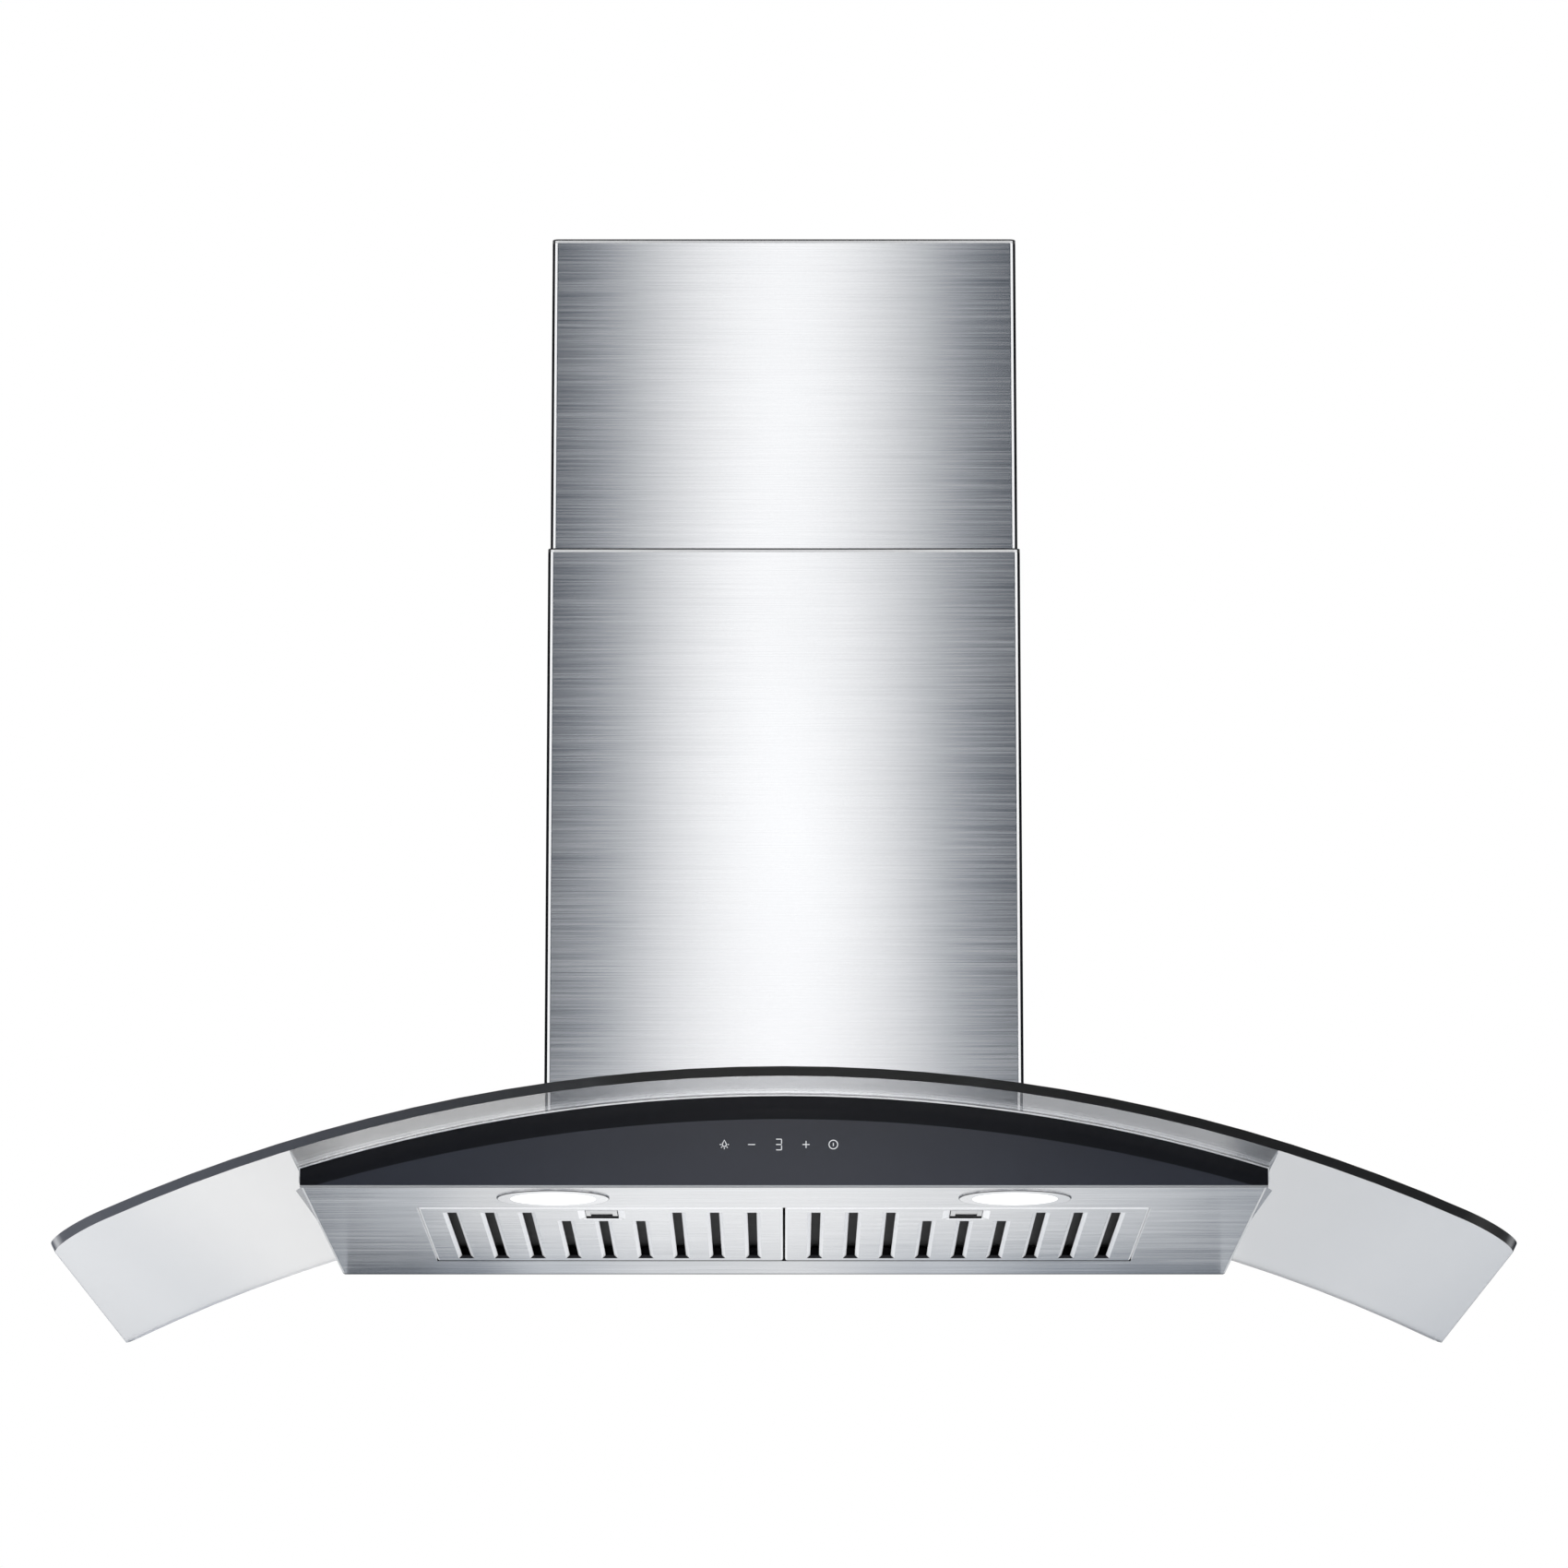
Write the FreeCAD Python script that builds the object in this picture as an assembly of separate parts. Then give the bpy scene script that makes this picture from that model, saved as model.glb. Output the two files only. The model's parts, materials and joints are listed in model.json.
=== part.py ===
import FreeCAD, Part
import math
import os

# Wall mount range hood with an arched glass canopy, a slim steel body, two baffle filters,
# a double-inlet blower and a telescopic chimney.
# X runs to the right, Y into the wall, Z up. The wall is the plane Y = 0 and the front is -Y.
# Heights are measured from the flat underside of the body while the pieces are made.
# Each saved piece is then lowered so that the origin is the centre of the wall hanging holes.

# Sheet metal and general fits
sheet = 1.0
running_gap = 0.3
seat_gap = 0.1
screw_gap = 0.1

# Glass canopy, bent round an axis that runs from front to back
canopy_width = 900.0
canopy_depth = 500.0
canopy_thickness = 6.0
canopy_crown_height = 57.6
canopy_height_at_body_end = 11.8
canopy_front_corner = 37.0
canopy_rear_corner = 7.0

# Slim body under the canopy
body_width = 602.0
body_bend = 2.5
body_rear_gap = 6.0
fascia_setback = 65.0
fascia_thickness = 4.0
fascia_width = 600.0
fascia_drop = 1.6
fascia_top_gap = 2.2
front_wall_top_gap = 0.5
gasket_thickness = 2.0
gasket_width = 14.0

# Baffle filters
filter_width = 231.5
filter_depth = 255.3
filter_setback = 104.2
filter_slit = 1.4
filter_side_gap = 0.75
filter_rear_gap = 1.0
filter_rim_height = 9.0
filter_sheet = 1.0
filter_corner = 2.0
filter_bend = 1.5
opening_flange = 8.0
slot_count = 9
slot_pitch = 24.0
slot_width = 7.0
slot_bevel = 1.75
slot_bevel_depth = 1.4
slot_front_margin = 22.0
slot_rear_margin = 13.5
backing_slot_width = 9.0
hook_tab_width = 30.0
hook_tab_reach = 6.0
hook_tab_inset = 40.0

# Filter latch, a sprung slide in a shallow recess near the front edge
latch_width = 20.0
latch_length = 25.6
latch_travel = 8.0
latch_front_margin = 15.2
latch_side_gap = 0.4
finger_gap = 3.0
latch_plate_rim = 3.0
latch_tongue_width = 10.0
recess_width = 30.0
recess_front_margin = 11.8
recess_length = 42.0
recess_depth = 0.8
recess_corner = 3.0
recess_ramp = 4.0

# Lamps
lamp_spacing = 290.0
lamp_setback = 58.0
lamp_bezel_radius = 35.5
lamp_bezel_flange = 1.0
lamp_lens_radius = 26.75
lamp_lens_rim = 1.6
lamp_ledge = 0.6
lamp_lens_thickness = 1.4
lamp_sleeve_wall = 1.2
lamp_sleeve_height = 10.0
lamp_hole_gap = 0.3
heat_sink_height = 16.0
heat_sink_core = 18.0
led_board_radius = 24.0
led_board_thickness = 1.6
clip_width = 8.0
clip_reach = 8.0
clip_sheet = 0.6

# Touch controls behind the black glass fascia
icon_height = 24.9
icon_pitch = 16.9
icon_middle_x = -3.2
window_half_width = 52.0
window_half_height = 15.0
board_frame_rim = 4.0
board_frame_depth = 6.0
board_thickness = 1.6
touch_pad_radius = 3.5
display_width = 13.0
display_height = 14.0

# Control box on the floor of the body, between the lamps
control_box_half_width = 95.0
control_box_depth = 70.0
control_box_height = 34.0
control_box_wall = 1.5
control_box_front_gap = 12.0
power_board_lift = 5.0
board_post_radius = 3.0
relay_count = 3
relay_size = 15.0
relay_pitch = 22.5
relay_height = 12.0
driver_width = 50.0
driver_depth = 40.0
driver_height = 18.0

# Blower neck through the canopy and the clamp that holds the glass
neck_half_width = 112.0
neck_depth = 190.0
neck_rear_gap = 45.0
neck_flange = 8.0
cutout_gap = 3.0
neck_corner = 10.0
clamp_thickness = 2.0
clamp_gasket_thickness = 1.0
clamp_rim = 26.0
clamp_tab_width = 40.0
clamp_tab_rise = 12.0
bolt_radius = 3.0
bolt_head_radius = 5.5
bolt_head_height = 3.0
bolt_inset = 16.0
bush_radius = 9.0
bolt_hole_gap = 1.6

# Air box
air_box_half_width = 135.0
air_box_depth = 236.0
air_box_rear_gap = 12.0
air_box_standoff = 9.4
air_box_height = 257.0
cover_lip = 12.0
cover_screw_inset = 38.0

# Blower, turning about an axis along X
impeller_radius = 75.0
impeller_inner_radius = 62.0
impeller_half_width = 49.0
impeller_ring = 3.0
impeller_plate = 2.4
blade_count = 36
blade_thickness = 1.0
blade_bend_radius = 14.0
hub_radius = 11.0
hub_length = 32.0
shaft_radius = 4.0
shaft_play = 0.05
scroll_start_gap = 7.0
scroll_growth = 8.0
scroll_wall = 2.0
scroll_half_width = 55.0
scroll_rear_gap = 4.0
scroll_floor_gap = 18.0
tongue_radius = 14.0
inlet_flare = 9.0
scroll_flange = 9.0
motor_radius = 40.0
motor_length = 56.0
motor_seam = 3.0
motor_boss_radius = 14.0
motor_boss_length = 4.0
motor_standoff = 11.0
bracket_sheet = 2.0
bracket_arm_count = 3
bracket_arm_width = 12.0
bracket_reach = 86.0
shaft_in_motor = 16.0
capacitor_radius = 15.0
capacitor_length = 54.0
capacitor_edge = 1.5

# Outlet adapter with the duct collar and its two damper flaps
collar_radius = 75.0
collar_length = 45.0
collar_centre_y = -100.0
adapter_wall = 2.0
pan_height = 30.0
pan_rim = 4.0
pan_corner = 12.0
damper_pin_radius = 2.0
damper_pin_play = 0.08
damper_height = 12.0
damper_thickness = 1.6
damper_edge_gap = 1.2
damper_knuckle_wall = 1.8
damper_knuckle_length = 18.0
damper_root_gap = 5.0
damper_boss = 6.0
damper_ledge = 3.0

# Junction box and cable gland on the roof of the air box
junction_width = 120.0
junction_depth = 46.0
junction_height = 34.0
junction_wall = 2.0
junction_front_gap = 6.0
gland_radius = 8.0
gland_bore = 4.0
gland_cap_radius = 6.5
gland_length = 18.0

# Chimney
chimney_width = 310.0
chimney_depth = 270.0
chimney_top = 445.0
chimney_bend = 4.0
chimney_flange = 18.0
chimney_slide_gap = 0.5
upper_length = 400.0
upper_exposed = 211.0
glass_seat_gap = 0.4
bracket_height = 30.0
bracket_top_gap = 8.0
bracket_tab_depth = 30.0
bracket_hole_spacing = 200.0
bracket_hole_radius = 3.0
wall_bracket_sheet = 1.2

# Wall hanging plate and the hook on the air box
hang_height = 285.0
hang_hole_spacing = 160.0
hang_hole_radius = 4.0
hang_plate_half_width = 105.0
hang_plate_half_height = 12.0
hang_sheet = 1.5
hang_joggle = 4.5
hang_lip_height = 18.0
hang_hook_drop = 12.0

# Screws
screw_radius = 1.75
screw_head_radius = 3.5
screw_head_height = 2.0
screw_length = 8.0

V = FreeCAD.Vector
AXIS_X = V(1, 0, 0)
AXIS_Y = V(0, 1, 0)
AXIS_Z = V(0, 0, 1)
SIDES = (("left", -1), ("right", 1))

# Lines that several pieces share
body_half = body_width / 2
fascia_y = fascia_setback - canopy_depth
front_wall_y = fascia_y + fascia_thickness
arch_rise = canopy_crown_height - canopy_height_at_body_end
canopy_low_radius = (body_half ** 2 + arch_rise ** 2) / (2 * arch_rise)
canopy_top_radius = canopy_low_radius + canopy_thickness
arch_axis_z = canopy_crown_height - canopy_low_radius
deck_top_radius = canopy_low_radius - gasket_thickness
deck_low_radius = deck_top_radius - sheet
neck_rear_y = -neck_rear_gap
neck_front_y = neck_rear_y - neck_depth
air_box_floor = canopy_crown_height + canopy_thickness + air_box_standoff
air_box_top = air_box_floor + air_box_height
air_box_rear_y = -air_box_rear_gap
air_box_front_y = air_box_rear_y - air_box_depth
filter_front_y = fascia_y + filter_setback
filter_rear_y = filter_front_y + filter_depth
hinge_y = filter_rear_y + filter_rear_gap
upper_half = chimney_width / 2 - sheet - chimney_slide_gap
upper_front_y = -chimney_depth + sheet + chimney_slide_gap
upper_rear_y = -sheet - chimney_slide_gap
upper_top = chimney_top + upper_exposed


def save(name, shape):
    """Lower the piece so that the hanging holes are at the origin, and write it."""
    shape = shape.copy()
    shape.translate(V(0, 0, -hang_height))
    shape.exportStep("parts/" + name + ".step")


def box(x0, x1, y0, y1, z0, z1):
    return Part.makeBox(x1 - x0, y1 - y0, z1 - z0, V(x0, y0, z0))


def rod(radius, length, base, axis):
    return Part.makeCylinder(radius, length, base, axis)


def tube(inner, outer, length, base, axis):
    return rod(outer, length, base, axis).cut(rod(inner, length, base, axis))


def fuse(shapes):
    whole = shapes[0].fuse(list(shapes[1:])) if len(shapes) > 1 else shapes[0]
    return whole.removeSplitter()


def group(shapes):
    return Part.makeCompound(shapes)


def mirror_x(shape):
    return shape.mirror(V(0, 0, 0), AXIS_X)


def place(shape, base, axis):
    """Move a piece made along +Z so that it starts at base and points along axis."""
    moved = shape.copy()
    moved.Placement = FreeCAD.Placement(base, FreeCAD.Rotation(AXIS_Z, axis))
    return moved


def outline(points):
    """Closed outline of straight lines through the points."""
    return Part.makePolygon(list(points) + [points[0]])


def prism(wire, direction):
    return Part.Face(wire).extrude(direction)


def rounded_rectangle(x0, x1, y0, y1, radius, z):
    """Rectangle with round corners in a level plane."""
    reach = radius * (1 - math.sqrt(0.5))
    corners = (
        (x1, y0, -1, 1, "y"),
        (x1, y1, -1, -1, "x"),
        (x0, y1, 1, -1, "y"),
        (x0, y0, 1, 1, "x"),
    )
    edges = []
    last = V(x0 + radius, y0, z)
    for cx, cy, sx, sy, leave in corners:
        along_x = V(cx + sx * radius, cy, z)
        along_y = V(cx, cy + sy * radius, z)
        first, second = (along_x, along_y) if leave == "y" else (along_y, along_x)
        middle = V(cx + sx * reach, cy + sy * reach, z)
        edges.append(Part.LineSegment(last, first).toShape())
        edges.append(Part.Arc(first, middle, second).toShape())
        last = second
    return Part.Wire(edges)


def rounded_block(x0, x1, y0, y1, radius, z0, z1):
    return prism(rounded_rectangle(x0, x1, y0, y1, radius, z0), V(0, 0, z1 - z0))


def turned(profile, base, axis):
    """Piece turned about axis through base, from (radius, height) points."""
    wire = outline([V(r, 0, h) for r, h in profile])
    return place(Part.Face(wire).revolve(V(0, 0, 0), AXIS_Z, 360), base, axis)


def hexagon(corner_radius, height, z):
    """Upright six-sided block, as a screw head or a nut."""
    corners = []
    for i in range(6):
        a = math.radians(60 * i)
        corners.append(V(corner_radius * math.cos(a), corner_radius * math.sin(a), z))
    return prism(outline(corners), V(0, 0, height))


def screw(length):
    """Hexagon head screw along +Z, its head below the origin and its shank above."""
    head = hexagon(screw_head_radius, screw_head_height, -screw_head_height)
    return head.fuse(rod(screw_radius, length, V(0, 0, 0), AXIS_Z)).removeSplitter()


def flat_screw(length):
    """Countersunk screw along +Z, its head flush with the origin."""
    head = Part.makeCone(screw_head_radius, screw_radius, sheet, V(0, 0, 0), AXIS_Z)
    return head.fuse(rod(screw_radius, length, V(0, 0, 0), AXIS_Z)).removeSplitter()


def flat_screw_hole(base, axis):
    """Cutter for a countersunk screw through an outer sheet."""
    wide = screw_head_radius + screw_gap
    narrow = screw_radius + screw_gap
    return Part.makeCone(wide, narrow, sheet, base, axis).fuse(screw_hole(base, axis))


def screw_hole(base, axis):
    """Cutter for a screw's clearance hole, long enough for the sheets that it joins."""
    start = base - axis * screw_length
    return rod(screw_radius + screw_gap, 2 * screw_length, start, axis)


def arch_core(radius):
    """Everything within the radius of the canopy's bend axis, over the hood's depth."""
    return rod(radius, 2 * canopy_depth, V(0, -1.5 * canopy_depth, arch_axis_z), AXIS_Y)


def arch_height(radius, x):
    return arch_axis_z + math.sqrt(radius ** 2 - x ** 2)


def band(low, top):
    """Closed outline between two arcs, each given by its start, middle and end."""
    return Part.Wire([
        Part.Arc(low[0], low[1], low[2]).toShape(),
        Part.LineSegment(low[2], top[2]).toShape(),
        Part.Arc(top[2], top[1], top[0]).toShape(),
        Part.LineSegment(top[0], low[0]).toShape(),
    ])


def arch_strip(low_radius, top_radius, half_width, y0, y1):
    """Arched sheet between two radii with upright sides."""
    arcs = []
    for radius in (low_radius, top_radius):
        z = arch_height(radius, half_width)
        crown = V(0, y0, arch_axis_z + radius)
        arcs.append((V(-half_width, y0, z), crown, V(half_width, y0, z)))
    return prism(band(*arcs), V(0, y1 - y0, 0))


def round_arch(shape, x):
    """Carry a piece made at the crown round the bend axis, to stand above or below x."""
    angle = math.degrees(math.asin(x / canopy_low_radius))
    moved = shape.copy()
    moved.rotate(V(0, 0, arch_axis_z), AXIS_Y, angle)
    return moved


def neck_cut(grow, z0, z1):
    """Upright cutter that follows the neck's outline, grown on every side."""
    return rounded_block(
        -neck_half_width - grow, neck_half_width + grow,
        neck_front_y - grow, neck_rear_y + grow, neck_corner + grow, z0, z1)


def bolt_places():
    """Feet of the four canopy bolts in plan."""
    x = neck_half_width + neck_flange + cutout_gap + bolt_inset
    return [(side * x, y) for side in (-1, 1) for y in (neck_front_y, neck_rear_y)]


def drill_for_bolts(sheets, radius):
    """Drill an arched sheet for the canopy bolts, square to the bend."""
    hole = rod(radius, air_box_floor, V(0, 0, 0), AXIS_Z)
    for x, y in bolt_places():
        drill = hole.copy()
        drill.translate(V(0, y, 0))
        sheets = sheets.cut(round_arch(drill, x))
    return sheets


# Canopy

def glass_canopy():
    """Bent sheet with radial side edges, round corners, the blower cut-out and bolt holes."""
    half_angle = math.asin(canopy_width / 2 / canopy_top_radius)
    arcs = []
    for radius in (canopy_low_radius, canopy_top_radius):
        x = radius * math.sin(half_angle)
        z = arch_axis_z + radius * math.cos(half_angle)
        crown = V(0, -canopy_depth, arch_axis_z + radius)
        arcs.append((V(-x, -canopy_depth, z), crown, V(x, -canopy_depth, z)))
    glass = prism(band(*arcs), V(0, canopy_depth, 0))
    radial = [e for e in glass.Edges if abs(e.Length - canopy_thickness) < seat_gap]
    front = [e for e in radial if e.CenterOfMass.y < -canopy_depth / 2]
    glass = glass.makeFillet(canopy_front_corner, front)
    rear = [e for e in glass.Edges
            if abs(e.Length - canopy_thickness) < seat_gap and abs(e.CenterOfMass.y) < seat_gap
            and abs(e.CenterOfMass.x) > canopy_width / 4]
    glass = glass.makeFillet(canopy_rear_corner, rear[:2])
    glass = glass.cut(neck_cut(neck_flange + cutout_gap, 0, air_box_floor))
    return drill_for_bolts(glass, bolt_radius + bolt_hole_gap)


def glass_gasket():
    """Rubber frame between the edge of the deck and the glass."""
    y0 = front_wall_y + sheet
    y1 = -body_rear_gap
    frame = arch_strip(deck_top_radius + seat_gap, canopy_low_radius - seat_gap, body_half, y0, y1)
    inner = box(gasket_width - body_half, body_half - gasket_width,
                y0 + gasket_width, y1 - gasket_width, -canopy_depth, canopy_depth)
    return frame.cut(inner)


def glass_bushes():
    """Four rubber rings round the bolts, between the deck and the glass."""
    base = V(0, 0, arch_axis_z + deck_top_radius + seat_gap)
    ring = tube(bolt_radius + screw_gap, bush_radius, gasket_thickness - 2 * seat_gap, base, AXIS_Z)
    made = []
    for x, y in bolt_places():
        one = ring.copy()
        one.translate(V(0, y, 0))
        made.append(round_arch(one, x))
    return group(made)


def clamp_ring(low_radius, top_radius):
    """Arched frame round the cut-out, drilled for the four bolts."""
    grow = neck_flange + cutout_gap
    half = neck_half_width + grow + clamp_rim
    y0 = neck_front_y - clamp_rim
    y1 = neck_rear_y + clamp_rim
    frame = arch_strip(low_radius, top_radius, half, y0, y1)
    frame = frame.cut(neck_cut(grow, 0, air_box_floor))
    return drill_for_bolts(frame, bolt_radius + screw_gap)


def clamp_gasket():
    return clamp_ring(canopy_top_radius + seat_gap, canopy_top_radius + clamp_gasket_thickness)


def clamp_low_radius():
    return canopy_top_radius + clamp_gasket_thickness + seat_gap


def clamp_tab_y():
    return (neck_front_y + neck_rear_y) / 2


def clamp_tab_top():
    return air_box_floor + clamp_tab_rise - air_box_standoff


def chimney_screw_z():
    return clamp_tab_top() - clamp_tab_rise / 2


def glass_clamp_frame():
    """Steel clamp on the glass, with an upright tab on each side for the chimney's screw."""
    low = clamp_low_radius()
    ring = clamp_ring(low, low + clamp_thickness)
    half = neck_half_width + neck_flange + cutout_gap + clamp_rim
    tab_x = chimney_width / 2 - sheet - running_gap
    y0 = clamp_tab_y() - clamp_tab_width / 2
    y1 = y0 + clamp_tab_width
    pieces = [ring]
    for side in (-1, 1):
        foot = arch_strip(low, low + clamp_thickness, tab_x, y0, y1)
        keep = box(*sorted((side * (half - clamp_rim / 2), side * tab_x)), y0, y1, 0, air_box_floor)
        pieces.append(foot.common(keep))
        tab = box(*sorted((side * (tab_x - clamp_thickness), side * tab_x)), y0, y1,
                  0, clamp_tab_top())
        pieces.append(tab.cut(arch_core(low)))
    frame = fuse(pieces)
    for side in (-1, 1):
        base = V(side * tab_x, clamp_tab_y(), chimney_screw_z())
        frame = frame.cut(screw_hole(base, AXIS_X))
    return frame


def glass_bolts():
    """Four bolts up through deck, bush, glass and clamp, each with its nut."""
    low = arch_axis_z + deck_low_radius
    top = arch_axis_z + clamp_low_radius() + clamp_thickness
    head = hexagon(bolt_head_radius, bolt_head_height, low - bolt_head_height)
    shank = rod(bolt_radius, top - low + 2 * bolt_head_height, V(0, 0, low), AXIS_Z)
    nut = hexagon(bolt_head_radius, bolt_head_height, top + 2 * seat_gap)
    bolt = fuse([head, shank, nut])
    made = []
    for x, y in bolt_places():
        one = bolt.copy()
        one.translate(V(0, y, -seat_gap))
        made.append(round_arch(one, x))
    return group(made)


# Body

def filter_opening(z0, z1):
    half = filter_slit / 2 + filter_width + filter_side_gap
    return box(-half, half, filter_front_y - filter_side_gap, hinge_y, z0, z1)


def round_foot(block, radius):
    """Round all the edges at the foot of a block."""
    low = block.BoundBox.ZMin
    return block.makeFillet(radius, [e for e in block.Edges if e.BoundBox.ZMax - low < seat_gap])


def round_side_folds(block, radius):
    """Round the two lower edges of a block that run from front to rear."""
    low = block.BoundBox.ZMin
    edges = []
    for edge in block.Edges:
        ends = edge.BoundBox
        if ends.ZMax - low < seat_gap and ends.XLength < seat_gap:
            edges.append(edge)
    return block.makeFillet(radius, edges)


def body_panel():
    """Folded tray: flat underside with upturned walls, filter opening and lamp holes."""
    rear = -body_rear_gap
    shell = box(-body_half, body_half, front_wall_y, rear, 0, canopy_crown_height)
    shell = round_side_folds(shell, body_bend)
    hollow = box(sheet - body_half, body_half - sheet, front_wall_y + sheet, rear - sheet,
                 sheet, canopy_crown_height)
    tray = shell.cut(round_side_folds(hollow, body_bend - sheet))
    tray = tray.common(arch_core(deck_low_radius - seat_gap))
    front = box(-body_half, body_half, front_wall_y, front_wall_y + sheet, body_bend, canopy_crown_height)
    front = front.common(arch_core(canopy_low_radius - front_wall_top_gap))
    half = filter_slit / 2 + filter_width + filter_side_gap + sheet
    lip = box(-half, half, filter_front_y - filter_side_gap - sheet, hinge_y, 0, opening_flange)
    panel = fuse([tray, front, lip])
    panel = panel.cut(filter_opening(-sheet, canopy_crown_height))
    for _, side in SIDES:
        centre = V(side * lamp_spacing / 2, fascia_y + lamp_setback, -sheet)
        panel = panel.cut(rod(lamp_hole_radius(), 3 * sheet, centre, AXIS_Z))
    window = box(icon_middle_x - window_half_width, icon_middle_x + window_half_width,
                 front_wall_y - sheet, front_wall_y + 2 * sheet,
                 icon_height - window_half_height, icon_height + window_half_height)
    return panel.cut(window)


def top_deck():
    """Arched roof sheet of the body, open where the blower draws."""
    deck = arch_strip(deck_low_radius, deck_top_radius, body_half,
                      front_wall_y + sheet, -body_rear_gap)
    deck = deck.cut(neck_cut(-sheet, 0, air_box_floor))
    return drill_for_bolts(deck, bolt_radius + screw_gap)


def fascia_glass():
    """Flat black glass front whose upper edge follows the canopy."""
    half = fascia_width / 2
    plate = box(-half, half, fascia_y, front_wall_y, -fascia_drop, canopy_crown_height)
    return plate.common(arch_core(canopy_low_radius - fascia_top_gap))


# Filters, made on the right and mirrored for the left

def filter_x0():
    return filter_slit / 2


def filter_middle_x():
    return filter_x0() + filter_width / 2


def slot_centres():
    first = filter_middle_x() - slot_pitch * (slot_count - 1) / 2
    return [first + slot_pitch * i for i in range(slot_count)]


def slot_front(x):
    """Front end of a slot's outline. Slots behind the latch recess start further back."""
    recess_rear = filter_front_y + recess_front_margin + recess_length
    beside = abs(x - filter_middle_x()) < recess_width / 2 + slot_pitch / 2 + slot_width
    return recess_rear + slot_width if beside else filter_front_y + slot_front_margin


def slot_funnel(x, grow, z0, z1):
    """Tapered slot, wide at the face and narrow inside."""
    y0 = slot_front(x)
    y1 = filter_rear_y - slot_rear_margin
    wide = slot_width / 2 + slot_bevel
    taper = slot_bevel / slot_bevel_depth
    wires = []
    for z in (z0, z1):
        shrink = taper * z - grow
        left = x - wide + shrink
        right = x + wide - shrink
        wires.append(outline([V(left, y0 + shrink, z), V(right, y0 + shrink, z),
                              V(right, y1 - shrink, z), V(left, y1 - shrink, z)]))
    return Part.makeLoft(wires, True, True)


def latch_y0():
    return filter_front_y + latch_front_margin


def latch_dish(grow, z0):
    """Shallow dish for the latch, whose sides slope down to the face of the tray."""
    middle = filter_middle_x()
    front = filter_front_y + recess_front_margin
    slope = recess_ramp / recess_depth
    rims = []
    for z in (z0, recess_depth + grow):
        inset = slope * z - (slope + 1) * grow
        half = recess_width / 2 - inset
        rims.append(rounded_rectangle(middle - half, middle + half, front + inset,
                                      front + recess_length - inset, recess_corner, z))
    return Part.makeLoft(rims, True, True)


def filter_face():
    """Stamped tray with bevelled slots, a shallow latch recess and two hook tabs behind."""
    x0 = filter_x0()
    x1 = x0 + filter_width
    tray = rounded_block(x0, x1, filter_front_y, filter_rear_y, filter_corner, 0, filter_rim_height)
    tray = round_foot(tray, filter_bend)
    hollow = box(x0 + filter_sheet, x1 - filter_sheet, filter_front_y + filter_sheet,
                 filter_rear_y - filter_sheet, filter_sheet, filter_rim_height)
    middle = filter_middle_x()
    dents = [latch_dish(filter_sheet, filter_sheet / 2)]
    for x in slot_centres():
        dents.append(slot_funnel(x, filter_sheet, 0, slot_bevel_depth + filter_sheet / 2))
    tabs = []
    for x in (x0 + hook_tab_inset, x1 - hook_tab_inset):
        tabs.append(box(x - hook_tab_width / 2, x + hook_tab_width / 2, filter_rear_y - filter_sheet,
                        hinge_y + hook_tab_reach, sheet + running_gap,
                        sheet + running_gap + filter_sheet))
    face = fuse([tray.cut(hollow)] + dents + tabs)
    face = face.cut(latch_dish(0, 0))
    for x in slot_centres():
        face = face.cut(slot_funnel(x, 0, -filter_sheet / 2, slot_bevel_depth + filter_sheet))
    slide_half = latch_width / 2 + latch_side_gap
    face = face.cut(box(middle - slide_half, middle + slide_half, latch_y0() - latch_side_gap,
                        latch_y0() + latch_length + latch_travel + finger_gap,
                        0, filter_rim_height / 2))
    tongue_half = latch_tongue_width / 2 + latch_side_gap
    return face.cut(box(middle - tongue_half, middle + tongue_half,
                        filter_front_y - filter_sheet, filter_front_y + 2 * filter_sheet,
                        latch_plate_z() - latch_side_gap,
                        latch_plate_z() + filter_sheet + latch_side_gap))


def latch_plate_z():
    """Height of the latch's hidden plate, which slides on the floor of the recess."""
    return recess_depth + filter_sheet + running_gap


def filter_latch():
    """Finger tab in the recess, its hidden slide plate and the tongue through the front rim."""
    middle = filter_middle_x()
    y0 = latch_y0()
    y1 = y0 + latch_length
    half = latch_width / 2
    z = latch_plate_z()
    tab = box(middle - half, middle + half, y0, y1, 0, z + filter_sheet)
    grip = box(middle - half + latch_plate_rim, middle + half - latch_plate_rim,
               y0 + latch_plate_rim, y1 - latch_plate_rim, 0, recess_depth)
    plate = box(middle - half - latch_plate_rim, middle + half + latch_plate_rim,
                y0 - latch_plate_rim, y1 + latch_plate_rim, z, z + filter_sheet)
    tongue = box(middle - latch_tongue_width / 2, middle + latch_tongue_width / 2,
                 filter_front_y - running_gap, y0, z, z + filter_sheet)
    return fuse([tab.cut(grip), plate, tongue])


def filter_backing():
    """Inner baffle plate on the tray's rim, its slots midway between those of the face."""
    x0 = filter_x0()
    x1 = x0 + filter_width
    z0 = filter_rim_height
    plate = rounded_block(x0, x1, filter_front_y, filter_rear_y, filter_corner, z0, z0 + filter_sheet)
    y1 = filter_rear_y - slot_rear_margin
    half = backing_slot_width / 2
    for left, right in zip(slot_centres(), slot_centres()[1:]):
        x = (left + right) / 2
        y0 = max(slot_front(left), slot_front(right))
        plate = plate.cut(box(x - half, x + half, y0, y1, z0 - filter_sheet, z0 + 2 * filter_sheet))
    return plate


# Lamps, made for a centre on the underside

def lamp_hole_radius():
    return lamp_sleeve_radius() + lamp_hole_gap


def lamp_sleeve_radius():
    return lamp_lens_radius + lamp_lens_rim + lamp_sleeve_wall


def lamp_centre(side):
    return V(side * lamp_spacing / 2, fascia_y + lamp_setback, 0)


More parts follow.
